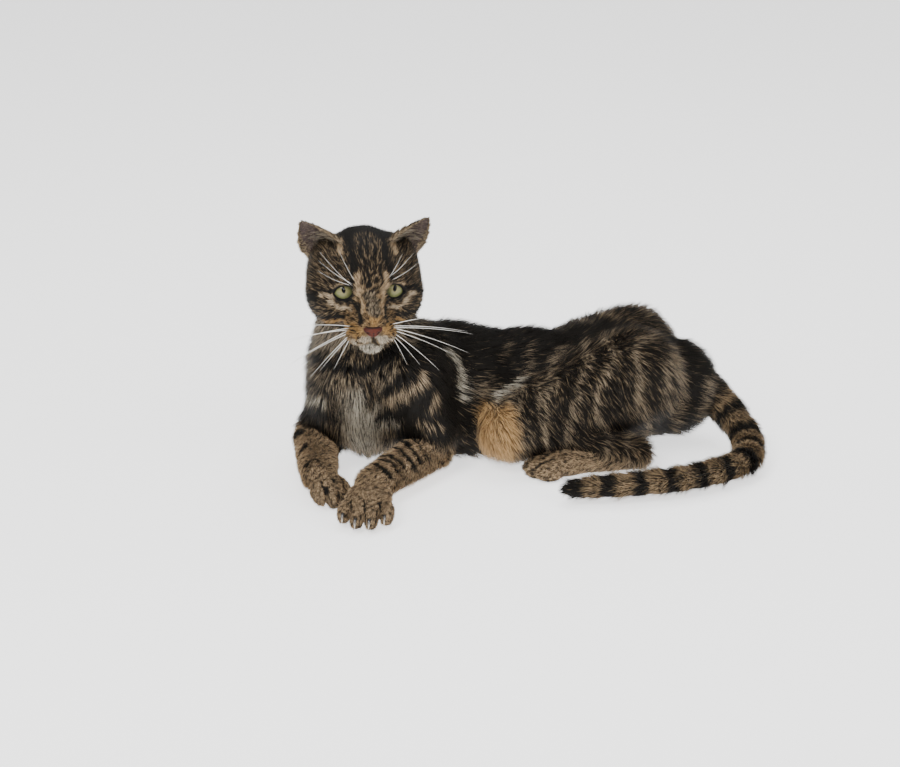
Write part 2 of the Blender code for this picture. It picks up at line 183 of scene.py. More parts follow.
def head_forms():
    for centre, radii, blend in (((0, -2, 3), (33, 40, 31), 16), ((0, 16, 6), (27, 24, 21), 10),
                                 ((0, 8, -20), (25, 28, 16), 10)):
        Egg("head", blend, in_head(*centre), radii, HEAD)
    for side in (-1, 1):
        Egg("head", 10, in_head(side * 25, 11, -11), (18, 24, 19), HEAD)
        Egg("head", 12, in_head(side * 27, -4, 4), (14, 22, 22), HEAD)
    Limb("face", 8, in_head(0, 29, 0), in_head(0, 54, -13), 13, 7.5)
    Egg("face", 8, in_head(0, 41, -20), (18, 18, 13), HEAD)
    for side in (-1, 1):
        Egg("face", 4, in_head(side * 8.5, 51, -23), (10, 10.5, 8), HEAD)
    Egg("face", 3, in_head(0.5, 48, -33), (9.5, 11, 7), HEAD)


def paw_forms(wrist, toe, width):
    """A flattened foot and four toes, the outer ones set back."""
    along = unit(toe - wrist)
    across = unit(np.cross(along, (0, 0, 1)))
    axes = (across, along, np.cross(across, along))
    length = np.linalg.norm(toe - wrist)
    Egg("paw", 5, wrist + along * length * 0.42, (width * 0.40, length * 0.42, 10.5), axes, along)
    for step in TOES:
        set_back = OUTER_TOES_BACK if abs(step) > 1 else 0
        centre = wrist + along * (length - 12 - set_back) + across * step * width * 0.245 - axes[2] * 2
        Egg("paw", 2.0, centre, (width * 0.115, 12.0, 8.0), axes, along)


def leg_forms():
    for side, (withers, shoulder, arm_end, elbow, wrist, toe, width) in FORELEGS.items():
        down = (0.25, -0.1, -1)
        Limb("trunk", 14, withers, shoulder, 24, 24, down)
        Limb("trunk", 14, shoulder, arm_end, 24, 19 if side > 0 else 17, down)
        Limb("leg", 7, elbow, wrist, 17, 12.5)
        paw_forms(np.array(wrist, float), np.array(toe, float), width)
    for side in (-1, 1):
        hip, knee, hock, toe = (beside_spine(p, side) for p in (HIP, KNEE, HOCK, HIND_TOE))
        Limb("thigh", 14, hip, knee, 36, 25, (0.5, side * 0.1, -0.85))
        Limb("thigh", 10, knee, hock, 19, 10, (0.8, 0, -0.6))
        start = hock + (toe - hock) * 0.45
        start[2] = 12
        heel = np.array((hock[0], hock[1], 13.0))
        Limb("leg", 6, heel, heel + (start - heel) * 1.3, 10, 10)
        paw_forms(start, toe, HIND_PAW_WIDTH)


def smoothed(stations, count):
    """Stations of (place, radius), with more put in between along a Catmull-Rom curve."""
    rows = np.array([(*place, radius) for place, radius in stations], float)
    ends = np.concatenate((2 * rows[:1] - rows[1:2], rows, 2 * rows[-1:] - rows[-2:-1]))
    t = np.linspace(0, len(rows) - 1, count)[:, None]
    i = np.minimum(t.astype(int), len(rows) - 2)
    u = t - i
    a, b, c, d = (ends[i[:, 0] + n] for n in range(4))
    return 0.5 * (2 * b + (c - a) * u + (2 * a - 5 * b + 4 * c - d) * u ** 2 + (3 * b - 3 * c + d - a) * u ** 3)


def tail_forms():
    rows = smoothed(TAIL, 19)
    for a, b in zip(rows, rows[1:]):
        Limb("tail", 6, a[:3], b[:3], a[3], b[3])


for make in (body_forms, head_forms, leg_forms, tail_forms):
    make()


# ---- the skin's mesh -----------------------------------------------------------------------------------------


def melted(a, b, blend):
    """The lower of two distances, rounded where they meet: min(a, b) - h^2 k / 4, h = max(k - |a - b|, 0) / k."""
    h = np.maximum(blend - np.abs(a - b), 0) / blend
    return np.minimum(a, b) - h * h * blend / 4


def graded(low, high, fine_low, fine_high, coarse, fine):
    """Grid lines that lie close together from fine_low to fine_high."""
    lines = [low]
    while lines[-1] < high:
        away = max(fine_low - lines[-1], lines[-1] - fine_high, 0)
        lines.append(lines[-1] + min(coarse, fine + 0.1 * away))
    return np.array(lines)


class Field:
    """Distances on a grid of points, worked out only near each form."""

    def __init__(self, lines):
        self.lines = lines
        self.values = np.full([len(line) for line in lines], 30.0)

    def near(self, low, high, pad):
        window = tuple(slice(max(np.searchsorted(line, a - pad) - 1, 0), np.searchsorted(line, b + pad) + 1)
                       for line, a, b in zip(self.lines, low, high))
        return window, np.stack(np.meshgrid(*[n[w] for n, w in zip(self.lines, window)], indexing="ij"), -1)

    def add(self, form):
        window, points = self.near(form.low, form.high, form.blend + 8)
        self.values[window] = melted(self.values[window], form.distance(points), form.blend)

    def cut(self, distance, low, high, blend):
        """Takes a form away, given the distance from it."""
        window, points = self.near(low, high, blend + 3)
        self.values[window] = -melted(-self.values[window], distance(points), blend)

    def surface(self):
        """Points and outward quads where the distance is nought."""
        grid = openvdb.FloatGrid(30.0)
        grid.copyFromArray(np.clip(self.values, -8, 8).astype(np.float32))
        places, quads = grid.convertToQuads(0.0)
        ticks = [np.interp(places[:, i], np.arange(len(line)), line) for i, line in enumerate(self.lines)]
        return np.stack(ticks, 1), np.asarray(quads, int)


def eye_axes(side):
    """Rows: across the lids towards the outer corner, the gaze, and over the lids."""
    gaze = turned(turned(HEAD[1], HEAD[2], side * GAZE_OUT), -HEAD[0], GAZE_UP)
    out = turned(HEAD[0] * side, HEAD[1], -side * LID_SLANT)
    out = unit(out - gaze * (out @ gaze))
    return np.array((out, gaze, unit(np.cross(gaze, out)) * side))


def lid_gap(side):
    """Distance from the gap between the lids: two discs' overlap, carried along the gaze, ahead of the eye."""
    centre, axes = in_head(side * EYE_IN_HEAD[0], *EYE_IN_HEAD[1:]), eye_axes(side)
    half, high = LID_HALF
    arc = (half ** 2 + high ** 2) / (2 * high)

    def distance(points):
        q = (points - centre) @ axes.T
        out, over = q[..., 0], q[..., 2]
        discs = np.maximum(np.hypot(out, over + arc - high), np.hypot(out, over - arc + high)) - arc
        return np.maximum(discs, 4 - q[..., 1])

    return distance


def make_field():
    wide = 1.0
    head_low, head_high = (-126, -82, 124), (-12, 24, 222)
    lines = [graded(low, high, a, b, 2.8 * wide, 1.15 * wide)
             for low, high, a, b in zip((-160, -152, -12), (272, 172, 226), head_low, head_high)]
    field = Field(lines)
    for form in FORMS:
        field.add(form)
    for side in (-1, 1):  # lids round each eyeball, then the gap between them, then the room for the ball
        eye = in_head(side * EYE_IN_HEAD[0], *EYE_IN_HEAD[1:])
        around = lambda p: np.linalg.norm(p - eye, axis=-1)
        window, points = field.near(eye - 14, eye + 14, 6)
        field.values[window] = melted(field.values[window], around(points) - 12.3, 5)
        field.cut(lid_gap(side), eye - 16, eye + 16, 1.0)
        field.cut(lambda p: around(p) - (EYE_R + 0.1), eye - 12, eye + 12, 0.5)
    # the mouth: a short upright groove under the nose, and a shallow line that curves away to each side
    for a, b in zip(MOUTH, MOUTH[1:]):
        start, end = in_head(*a), in_head(*b)
        way = end - start

        def groove(p):
            h = np.clip((p - start) @ way / (way @ way), 0, 1)
            return np.linalg.norm(p - start - h[..., None] * way, axis=-1) - 1.0

        field.cut(groove, np.minimum(start, end) - 2, np.maximum(start, end) + 2, 1.5)
    # the skin is flat where it rests, a little over the floor
    field.values = np.maximum(field.values, SKIN_OVER_FLOOR - lines[2][None, None, :])
    return field


def loose_parts(count, faces):
    """A label for each connected part's points: labels spread from each face to its points until stable."""
    label = np.arange(count)
    while True:
        low = label[faces].min(1)
        new = label.copy()
        np.minimum.at(new, faces.ravel(), np.repeat(low, faces.shape[1]))
        new = new[new]
        if (new == label).all():
            return label
        label = new


def ear_shell(side, rows=26, ring=44):
    """A cupped ear: at height v the outline is a flat loop as wide as a rounded triangle is there, bent back behind
    its opening. place(a, v) = root + height v tall + half(v) cos a across + (thick(v) sin a - cup(v) sin(a)^2)
    facing."""
    left, ahead, up = EAR_ROOT
    tall = turned(turned(HEAD[2], HEAD[1], -side * EAR_SPLAY), HEAD[0], 4)
    facing = turned(turned(HEAD[1], HEAD[2], side * EAR_TURN), HEAD[1], -side * EAR_SPLAY)
    facing = unit(facing - tall * (facing @ tall))
    across = np.cross(facing, tall)
    v = np.linspace(0, 1, rows)[:, None]
    a = np.linspace(0, 2 * math.pi, ring, endpoint=False)[None, :]
    half = np.interp(v, (0, 0.25, 0.45, 0.65, 0.82, 0.93, 0.98, 1), (17.5, 18.5, 16.5, 12.2, 7.4, 4.0, 2.2, 0.3))
    cup = np.interp(v, (0, 0.3, 0.7, 1), (10.5, 10, 5, 0.5))
    thick = np.interp(v, (0, 0.5, 0.95, 1), (1.5, 0.9, 0.6, 0.1))
    root = in_head(side * left, ahead, up) - tall * 4
    height = (EAR_HEIGHT + 4) * v
    places = (root + height[..., None] * tall + (half * np.cos(a))[..., None] * across
              - (cup * np.sin(a) ** 2)[..., None] * facing + (thick * np.sin(a))[..., None] * facing)
    return places, (tall, facing, across)


def ear_marks(side, places):
    """For each point of a capped ear: 1 to -1 from its hollow to its back, and from the edge at the crown to the
    other, and 0 to 1 from root to tip."""
    rows, ring = places.shape[:2]
    a = np.linspace(0, 2 * math.pi, ring, endpoint=False)
    inner = np.concatenate((np.tile(np.sin(a), rows), (0, 0)))
    medial = np.concatenate((np.tile(side * np.cos(a), rows), (0, 0)))
    high = np.concatenate((np.repeat(np.linspace(0, 1, rows), ring), (0, 1)))
    return inner, medial, high


def grid_faces(rows, ring):
    """Quads between neighbouring rows of closed rings."""
    i, j = np.meshgrid(np.arange(rows - 1), np.arange(ring), indexing="ij")
    k = (j + 1) % ring
    return np.stack((i * ring + j, i * ring + k, (i + 1) * ring + k, (i + 1) * ring + j), -1).reshape(-1, 4)


def capped(places):
    """Points and triangles of a grid of rings, closed at both ends, facing outwards."""
    rows, ring = places.shape[:2]
    points = np.concatenate((places.reshape(-1, 3), places[0].mean(0)[None], places[-1].mean(0)[None]))
    quads = grid_faces(rows, ring)
    j = np.arange(ring)
    k = (j + 1) % ring
    first = np.stack((np.full(ring, rows * ring), k, j), 1)
    last = np.stack((np.full(ring, rows * ring + 1), (rows - 1) * ring + j, (rows - 1) * ring + k), 1)
    faces = np.concatenate((quads[:, :3], quads[:, [0, 2, 3]], first, last))
    a, b, c = (points[faces[:, n]] for n in range(3))
    if (a * np.cross(b, c)).sum() < 0:
        faces = faces[:, ::-1]
    return points, faces


def add_mesh(name, points, faces, attributes=None, uv=None):
    """An object from points in millimetres and triangles, with one number for each point in each attribute."""
    mesh = bpy.data.meshes.new(name)
    faces = np.ascontiguousarray(faces, np.int32)
    mesh.vertices.add(len(points))
    mesh.vertices.foreach_set("co", to_frame(points).astype(np.float32).ravel())
    mesh.loops.add(faces.size)
    mesh.loops.foreach_set("vertex_index", faces.ravel())
    mesh.polygons.add(len(faces))
    mesh.polygons.foreach_set("loop_start", np.arange(0, faces.size, faces.shape[1], dtype=np.int32))
    mesh.polygons.foreach_set("use_smooth", np.full(len(faces), True))
    for key, values in (attributes or {}).items():
        mesh.attributes.new(key, "FLOAT", "POINT").data.foreach_set("value", np.asarray(values, np.float32))
    if uv is not None:
        layer = mesh.uv_layers.new(name="OFBake")
        uv = np.asarray(uv, np.float32)
        layer.data.foreach_set("uv", (uv if len(uv) == faces.size else uv[faces.ravel()]).ravel())
    mesh.update(calc_edges=True)
    made = bpy.data.objects.new(name, mesh)
    bpy.context.scene.collection.objects.link(made)
    return made


def point_normals(points, faces):
    """Unit normals of the points: the sum of their faces' own, by area."""
    a, b, c = (points[faces[:, n]] for n in range(3))
    normal = np.cross(b - a, c - a)
    total = np.zeros_like(points)
    for n in range(3):
        for axis in range(3):
            total[:, axis] += np.bincount(faces[:, n], normal[:, axis], len(points))
    return unit(total)


# ---- pieces that aren't fur ----------------------------------------------------------------------------------


def linear(code):
    """A hex sRGB colour as linear red, green, blue and 1."""
    share = [int(code[i:i + 2], 16) / 255 for i in (1, 3, 5)]
    return tuple(c / 12.92 if c <= 0.04045 else ((c + 0.055) / 1.055) ** 2.4 for c in share) + (1.0,)


def new_material(name):
    """A named material and its shader node."""
    made = bpy.data.materials.new(name)
    made.use_nodes = True
    return made, made.node_tree.nodes["Principled BSDF"]


def node(material, kind, inputs=None, **settings):
    """Adds a node with its settings. Each input is a number, a colour or another node's socket."""
    tree = material.node_tree
    made = tree.nodes.new(kind)
    for key, value in settings.items():
        setattr(made, key, value)
    for key, value in (inputs or {}).items():
        if isinstance(value, bpy.types.NodeSocket):
            tree.links.new(value, made.inputs[key])
        else:
            made.inputs[key].default_value = value
    return made


def plain(name, colour, roughness, **inputs):
    """A material of one colour."""
    made, shader = new_material(name)
    shader.inputs["Base Color"].default_value = linear(colour)
    shader.inputs["Roughness"].default_value = roughness
    for key, value in inputs.items():
        shader.inputs[key.replace("_", " ")].default_value = value
    return made


def attribute(material, name):
    return node(material, "ShaderNodeAttribute", attribute_name=name).outputs["Fac"]


def mixed(material, share, a, b):
    """Colour a where share is 0 and b where it is 1."""
    a, b = (linear(c) if isinstance(c, str) else c for c in (a, b))
    return node(material, "ShaderNodeMix", {"Factor": share, "A": a, "B": b}, data_type="RGBA").outputs["Result"]


def ramped(material, value, low, high):
    """0 up to low, 1 from high, and a smooth step between."""
    return node(material, "ShaderNodeMapRange", {"Value": value, "From Min": low, "From Max": high},
                interpolation_type="SMOOTHSTEP").outputs["Result"]


def tube(path, radii, sides=6):
    """A capped tube: rings of sides points round a path, each at its own radius."""
    path = np.asarray(path, float)
    way = unit(np.gradient(path, axis=0))
    across = unit(np.cross(way, (0.13, 0.21, 0.97)))
    over = np.cross(across, way)
    a = np.linspace(0, 2 * math.pi, sides, endpoint=False)
    rim = across[:, None] * np.cos(a)[None, :, None] + over[:, None] * np.sin(a)[None, :, None]
    return capped(path[:, None] + rim * np.asarray(radii, float)[:, None, None])


def joined(parts):
    """Several (points, faces) as one."""
    points, faces, start = [], [], 0
    for p, f in parts:
        points.append(p)
        faces.append(f + start)
        start += len(p)
    return np.concatenate(points), np.concatenate(faces)


PUPIL_HALF, IRIS_R = (1.5, 2.6), 8.6


def make_eyes():
    """Eyeballs: at angle t from the gaze the radius is EYE_R - 0.45 + 0.7 exp(-(t / 0.5)^2), so the cornea bulges."""
    # a film of tears over a clear cornea: one small sharp highlight on a soft green iris with fine spokes
    material, shader = new_material("wet cat's eye")
    x, z = attribute(material, "eye_x"), attribute(material, "eye_z")
    worked = lambda how, *terms: node(material, "ShaderNodeMath", dict(enumerate(terms)), operation=how).outputs[0]
    square = lambda v, r: worked("POWER", worked("DIVIDE", v, r), 2.0)
    pupil = worked("ADD", square(x, PUPIL_HALF[0]), square(z, PUPIL_HALF[1]))
    ring = worked("SQRT", worked("ADD", square(x, IRIS_R), square(z, IRIS_R)))
    fibres = node(material, "ShaderNodeTexNoise", {"Scale": 5.0, "Detail": 3.0, "Vector": node(
        material, "ShaderNodeCombineXYZ", {"X": attribute(material, "eye_angle"), "Y": 0.0}).outputs[0]})
    iris = mixed(material, ramped(material, ring, 0.25, 0.8), "#867D54", "#666945")
    iris = mixed(material, ramped(material, fibres.outputs["Fac"], 0.35, 0.75), iris, "#5E6240")
    iris = mixed(material, ramped(material, ring, 0.8, 1.0), iris, "#1B1C14")
    # painted shade: the iris darkens towards its top, standing for the shadow of the upper lid
    iris = mixed(material, ramped(material, z, -0.5, 4.5), iris, "#3A3B28")
    colour = mixed(material, ramped(material, pupil, 0.8, 1.15), "#030303", iris)
    material.node_tree.links.new(colour, shader.inputs["Base Color"])
    shader.inputs["Roughness"].default_value = 0.12
    shader.inputs["Coat Weight"].default_value = 0.3
    shader.inputs["Specular IOR Level"].default_value = 0.05
    shader.inputs["Coat Roughness"].default_value = 0.02
    for side, name in ((1, "eye_left"), (-1, "eye_right")):
        axes = eye_axes(side)
        centre = in_head(side * EYE_IN_HEAD[0], *EYE_IN_HEAD[1:])
        t = np.linspace(0.02, math.pi - 0.02, 40)[:, None]
        a = np.linspace(0, 2 * math.pi, 48, endpoint=False)[None, :]
        radius = EYE_R - 0.45 + 0.7 * np.exp(-(t / 0.5) ** 2)
        local = np.stack((radius * np.sin(t) * np.cos(a), radius * np.cos(t) + 0 * a,
                          radius * np.sin(t) * np.sin(a)), -1)
        points, faces = capped(centre + local @ axes)
        q = (points - centre) @ axes.T
        seen = q[:, 1] > 0
        marks = {"eye_x": np.where(seen, q[:, 0], 20), "eye_z": np.where(seen, q[:, 2] - 2.3, 20),
                 "eye_angle": np.abs(np.arctan2(q[:, 2], q[:, 0]))}
        ball = add_mesh(name + "_ball", points, faces, marks)
        ball.data.materials.append(material)
        finish_piece(ball, name, name)
        # the dark wet rim of the lids, a tube along the gap's outline on the ball
        half, high = LID_HALF
        arc = (half ** 2 + high ** 2) / (2 * high)
        reach = math.asin(half / arc)
        turn = np.linspace(-reach, reach, 25)
        upper = np.stack((arc * np.sin(turn), arc * np.cos(turn) - arc + high), 1)
        outline = np.concatenate((upper, (upper * (1, -1))[::-1][1:-1]))
        depth = np.sqrt(np.maximum((EYE_R + 0.55) ** 2 - (outline ** 2).sum(1), 0))
        inner = np.clip(-outline[:, 0] / half, 0, 1)
        dip = inner ** 6  # the inner corner runs on towards the nose
        path = centre + np.stack((outline[:, 0] - 1.0 * dip, depth, outline[:, 1] - 0.8 * dip), 1) @ axes
        way = unit(np.roll(path, -1, 0) - np.roll(path, 1, 0))
        out = unit(path - centre)
        b = np.linspace(0, 2 * math.pi, 8, endpoint=False)
        thick = (1.05 + 0.5 * inner)[:, None, None]
        rim = path[:, None] + thick * (np.cross(way, out)[:, None] * np.cos(b)[None, :, None]
                                       + out[:, None] * np.sin(b)[None, :, None])
        rows, ring_size = rim.shape[:2]
        i, j = np.meshgrid(np.arange(rows), np.arange(ring_size), indexing="ij")
        i2, k = (i + 1) % rows, (j + 1) % ring_size
        quads = np.stack((i * ring_size + j, i * ring_size + k, i2 * ring_size + k, i2 * ring_size + j), -1)
        quads = quads.reshape(-1, 4)
        faces = np.concatenate((quads[:, :3], quads[:, [0, 2, 3]]))
        p = rim.reshape(-1, 3)
        if (p[faces[:, 0]] * np.cross(p[faces[:, 1]] - centre, p[faces[:, 2]] - centre)).sum() < 0:
            faces = faces[:, ::-1]
        lids = add_mesh(name + "_rim", p, faces)
        # bare black skin, moist: almost black, with a faint sheen
        lids.data.materials.append(bpy.data.materials.get("wet black lid rim") or plain(
            "wet black lid rim", "#0B0908", 0.5, Specular_IOR_Level=0.12))
        finish_piece(lids, "head")


def finish_piece(piece, slot, *nodes):
    """Says where the piece belongs: it rides on the one body and stands for CAD nodes, which it hides. slot is not
    used.
    """
    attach(piece, "root")
    if nodes:
        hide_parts(*nodes)


def make_nose():
    """Nose leather: an ellipsoid whose width narrows downwards, with a hollow at each nostril and a groove between.
    place(t, a) = radii * (sin t cos a (1 + 0.55 sin t sin a), cos t, sin t sin a) less the hollows."""
    t = np.linspace(0.03, math.pi - 0.03, 40)[:, None]
    a = np.linspace(0, 2 * math.pi, 56, endpoint=False)[None, :]
    x = np.sin(t) * np.cos(a) * (1 + 0.55 * np.sin(t) * np.sin(a))
    z = np.sin(t) * np.sin(a)
    q = np.stack((6.6 * x, 5.6 * np.cos(t) + 0 * a, 4.7 * z), -1)
    nostril = np.exp(-((np.abs(q[..., 0]) - 4.2) / 1.5) ** 2 - ((q[..., 2] - 0.2) / 1.2) ** 2) * (q[..., 1] > 0)
    groove = np.exp(-(q[..., 0] / 0.6) ** 2) * (q[..., 2] < 1.5) * (q[..., 1] > 0)
    q[..., 1] -= 2.2 * nostril + 0.5 * groove
    points, faces = capped(in_head(*NOSE_IN_HEAD) + q @ HEAD)
    edge = np.clip(1 - np.sqrt((x / 0.95) ** 2 + (z / 0.9) ** 2), 0, 1)
    # darkest in the nostrils and in the groove between them, painted shade of the openings and the crease; darker
    # also round the rim and over the top
    dark = np.clip(1.0 * nostril + 0.8 * groove + 0.5 * (1 - np.clip(edge * 8, 0, 1)) + 0.9 * (z > 0.80), 0, 1)
    dark = np.concatenate((dark.ravel(), (0, 1)))
    # bare moist skin with a pebbled grain about half a millimetre wide: a broad dull sheen over fine dots
    material, shader = new_material("pink nose leather")
    speck = node(material, "ShaderNodeTexVoronoi", {"Scale": 1900.0, "Vector": node(
        material, "ShaderNodeTexCoord").outputs["Object"]})
    pink = mixed(material, ramped(material, speck.outputs["Distance"], 0.0, 0.8), "#5E2B1E", "#46211A")
    # near black where dark is high: painted shade in the nostrils and the groove, the rim's darker colour elsewhere
    colour = mixed(material, attribute(material, "dark"), pink, "#231513")
    material.node_tree.links.new(colour, shader.inputs["Base Color"])
    shader.inputs["Roughness"].default_value = 0.5
    shader.inputs["Specular IOR Level"].default_value = 0.14
    bump = node(material, "ShaderNodeBump", {
        "Height": speck.outputs["Distance"], "Strength": 0.3, "Distance": 0.0003})
    material.node_tree.links.new(bump.outputs["Normal"], shader.inputs["Normal"])
    nose = add_mesh("nose_leather", points, faces, {"dark": dark})
    nose.data.materials.append(material)
    finish_piece(nose, "nose", "nose")


def make_claws():
    """The left forepaw's claws, each a tube along an arc that droops from the toe's tip: place(t) = root +
    (6.3 t - 1.2 t^2) ahead - (t + 4.6 t^2) up. The right paw's are tucked away."""
    # horn worn smooth: dark at the root, clear grey at the tip, with a hard gloss
    material, shader = new_material("dark horn of the claws")
    tip = ramped(material, attribute(material, "along"), 0.25, 1.0)
    colour = mixed(material, tip, "#1A1512", "#B9AFA2")
    material.node_tree.links.new(colour, shader.inputs["Base Color"])
    shader.inputs["Roughness"].default_value = 0.18
    shader.inputs["Coat Weight"].default_value = 0.6
    *_, wrist, toe, width = FORELEGS[1]
    wrist, toe = np.array(wrist, float), np.array(toe, float)
    along = unit(toe - wrist)
    across = unit(np.cross(along, (0, 0, 1)))
    over = np.cross(across, along)
    length = np.linalg.norm(toe - wrist)
    for number, step in enumerate(TOES, 1):
        set_back = OUTER_TOES_BACK if abs(step) > 1 else 0
        root = wrist + along * (length - 2.5 - set_back) + across * step * width * 0.24 + over * 2.2
        t = np.linspace(0, 1, 9)[:, None]
        path = root + along * (6.3 * t - 1.2 * t ** 2) - over * (1.0 * t + 4.6 * t ** 2)
        points, faces = tube(path, 1.5 * (1 - t[:, 0]) ** 0.7 + 0.12, 8)
        share = np.concatenate((np.repeat(t[:, 0], 8), (0, 1)))
        claw = add_mesh(f"claw_left_{number}", points, faces, {"along": share})
        claw.data.materials.append(material)
        finish_piece(claw, f"foreclaw_left_{number}", f"foreclaw_left_{number}")


# ---- the skin ------------------------------------------------------------------------------------------------

FLESH = ["trunk", "neck", "head", "ear_left", "ear_right", "thigh_left", "thigh_right", "foreleg_left",
         "foreleg_right", "forepaw_left", "forepaw_right", "hindpaw_left", "hindpaw_right", "tail_root",
         "tail_middle", "tail_tip"]


def make_skin():
    """The body's surface: the largest connected part of the field's nought level, as outward triangles."""
    points, quads = make_field().surface()
    label = loose_parts(len(points), quads)
    keep = label == np.bincount(label).argmax()
    quads = quads[keep[quads[:, 0]]]
    number = np.cumsum(keep) - 1
    points, quads = points[keep], number[quads]
    faces = np.concatenate((quads[:, :3], quads[:, [0, 2, 3]]))
    a, b, c = (points[faces[:, n]] for n in range(3))
    if (a * np.cross(b, c)).sum() < 0:
        faces = faces[:, ::-1]
    return points, faces


# ---- the coat: how it lies, how long it is and its markings --------------------------------------------------

COAT = {  # tufts in a square millimetre, length, width, degrees of lift, then how black, how warm and how pale
    "trunk": (1.05, 15.0, 0.78, 23, 0.98, 0.20, 0.10),
    "neck": (1.45, 13.5, 0.70, 30, 0.50, 0.35, 0.34),
    "head": (2.45, 5.6, 0.52, 34, 0.82, 0.60, 0.22),
    "face": (4.20, 3.0, 0.42, 30, 0.48, 0.72, 0.12),
    "leg": (2.10, 6.2, 0.58, 27, 0.33, 0.94, 0.36),
    "paw": (2.90, 3.1, 0.46, 18, 0.42, 0.94, 0.34),
    "thigh": (0.92, 13.0, 0.74, 23, 0.88, 0.35, 0.15),
    "tail": (1.50, 8.5, 0.70, 28, 0.38, 0.50, 0.15),
}
PARTS = list(COAT)
TINTS = {  # how black, how warm, how pale
    "black": (1.0, 0.1, 0.0), "smoky": (0.75, 0.3, 0.1), "brown": (0.58, 0.35, 0.25), "tan": (0.15, 0.75, 0.30),
    "ginger": (0.14, 0.95, 0.05), "orange": (0.02, 1.0, 0.14), "pink": (0.05, 1.0, 0.36),
    "buff": (0.06, 0.75, 0.48), "cream": (0.20, 0.70, 0.40), "white": (0.15, 0.40, 0.60),
    "silver": (0.30, 0.05, 0.75),
}
HEAD_STROKES = [  # tint, half width, places left, ahead and up from the head's centre
    ("black", 8.5, ((-15, -9, 29), (0, -12, 33), (15, -9, 29))),
    ("black", 5.6, ((-12, -20, 28), (1, -24, 29), (14, -20, 27))),
    ("tan", 2.4, ((-19, 0, 29), (-20, 12, 27))), ("tan", 2.4, ((20, 0, 28), (21, 12, 26))),
    # two dark bands from the crown to the inner corners of the brows, and thin ones between
    ("black", 2.7, ((-11, -16, 31), (-12, 0, 32), (-12, 14, 30), (-12, 26, 26), (-11, 31, 22))),
    ("black", 1.8, ((-11, 31, 22), (-15, 35, 16), (-13, 38, 11))),
    ("black", 2.7, ((13, -14, 31), (13, 4, 31), (13, 17, 29), (13, 26, 25), (15, 32, 19))),
    ("black", 1.6, ((15, 32, 19), (16, 36, 12))),
    ("black", 1.0, ((-9, 30, 24), (-8, 35, 20), (-5, 38, 16))),
    ("black", 1.2, ((-3, 26, 28), (-2, 35, 22), (-1, 40, 13))),
    ("black", 1.1, ((7, 30, 25), (8, 35, 20), (8, 38, 15))),
    ("black", 1.3, ((1, -1, 34), (0, 11, 33), (-1, 21, 30))),
    ("black", 0.9, ((6, 4, 33), (6, 17, 31), (3, 27, 28))),
    ("black", 0.9, ((-4, 4, 33), (-5, 16, 31), (-6, 26, 27))),
    ("tan", 2.7, ((-9, 35, 19), (-10, 38, 13), (-9, 41, 8))),
    ("tan", 2.7, ((12, 34, 19), (12, 38, 12), (10, 41, 8))),
    # pale rings about the eyes, dark lines from their corners and two stripes over each cheek
    ("pink", 1.5, ((-10, 40, 7), (-8, 43, 4), (-6.5, 47, -1), (-7, 51, -5))),
    ("pink", 1.5, ((10, 40, 6), (9, 43, 2), (8.5, 46, -3), (8.5, 50, -7))),
    ("buff", 1.6, ((-36, 26, -2), (-31, 30, 0), (-28.5, 32, -4), (-22, 35, -8), (-14, 40, -8.5))),
    ("buff", 1.6, ((36, 27, -3), (31, 29, 0), (29.5, 32, -4), (25.5, 35, -7.5), (20, 36, -8.5), (14, 39, -7.5))),
    ("tan", 1.3, ((-30, 31, 6), (-24, 34, 10), (-16, 37, 9))),
    ("tan", 1.3, ((30, 30, 7), (24, 33, 10), (17, 37, 8))),
    ("black", 2.2, ((-13, 40, -1), (-9.5, 46, -4), (-8.5, 52, -8), (-7.5, 56, -11))),
    ("black", 1.8, ((13, 40, -2), (11, 46, -7), (10.5, 51, -12))),
    ("black", 1.5, ((-29, 31, 4), (-36, 25, 1), (-40, 20, -5))), ("black", 3.2, ((-40, 22, -5), (-43, 10, -14))),
    ("black", 1.4, ((28, 30, 5), (35, 25, 2), (40, 21, -4), (43, 12, -12))),
    ("black", 1.9, ((-40, 16, -24), (-37, 19, -21), (-29, 33, -16), (-20, 37, -16))),
    ("smoky", 1.4, ((-39, 26, -13), (-31, 34, -11), (-25, 35, -12))),
    ("black", 1.9, ((22, 36, -17), (34, 31, -15), (41, 20, -17))),
    ("ginger", 3.0, ((-34, 25, -26), (-26, 34, -22), (-18, 42, -21))),
    ("ginger", 2.6, ((18, 40, -21), (28, 31, -23))),
    # muzzle
    ("ginger", 3.6, ((1, 55, -6), (1, 58, -8), (1, 61, -11))),
    ("brown", 4.0, ((0, 42, 6), (1, 48, 0), (1, 53, -5))),
    ("ginger", 4.2, ((-16, 50, -19), (-11, 57, -18))), ("ginger", 4.2, ((16, 51, -18), (11, 58, -17))),
    ("white", 2.6, ((-11, 56, -26), (-7, 60, -24), (-3, 61, -22))),
    ("white", 2.6, ((11, 56, -26), (7, 60, -24), (3, 61, -22))),
    ("white", 2.2, ((0, 62, -21), (0, 60, -26))), ("silver", 4.6, ((-6, 55, -34), (0, 57, -34), (6, 55, -34))),
    ("black", 0.45, ((-17, 50, -16), (-13, 55, -16.5))), ("black", 0.5, ((-18, 49, -19), (-11, 58, -19.5))),
    ("black", 0.4, ((-17, 50, -22), (-11, 57, -22))),
    ("black", 0.45, ((17, 50, -15), (13, 55, -16))), ("black", 0.5, ((18, 49, -18), (12, 57, -19))),
    ("black", 0.4, ((17, 50, -21), (11, 57, -22))),
    ("black", 3.6, ((-36, 12, -34), (-28, 22, -36), (-16, 32, -36))),
    ("black", 3.0, ((34, 14, -34), (24, 26, -36), (14, 32, -36))),
    # lines that run back over the nape
    ("black", 3.0, ((0, -24, 31), (0, -40, 20), (0, -46, 0))),
    ("black", 2.6, ((-13, -18, 29), (-14, -38, 16), (-14, -42, -4))),
    ("black", 2.6, ((13, -18, 29), (14, -38, 16), (14, -42, -4))),
]
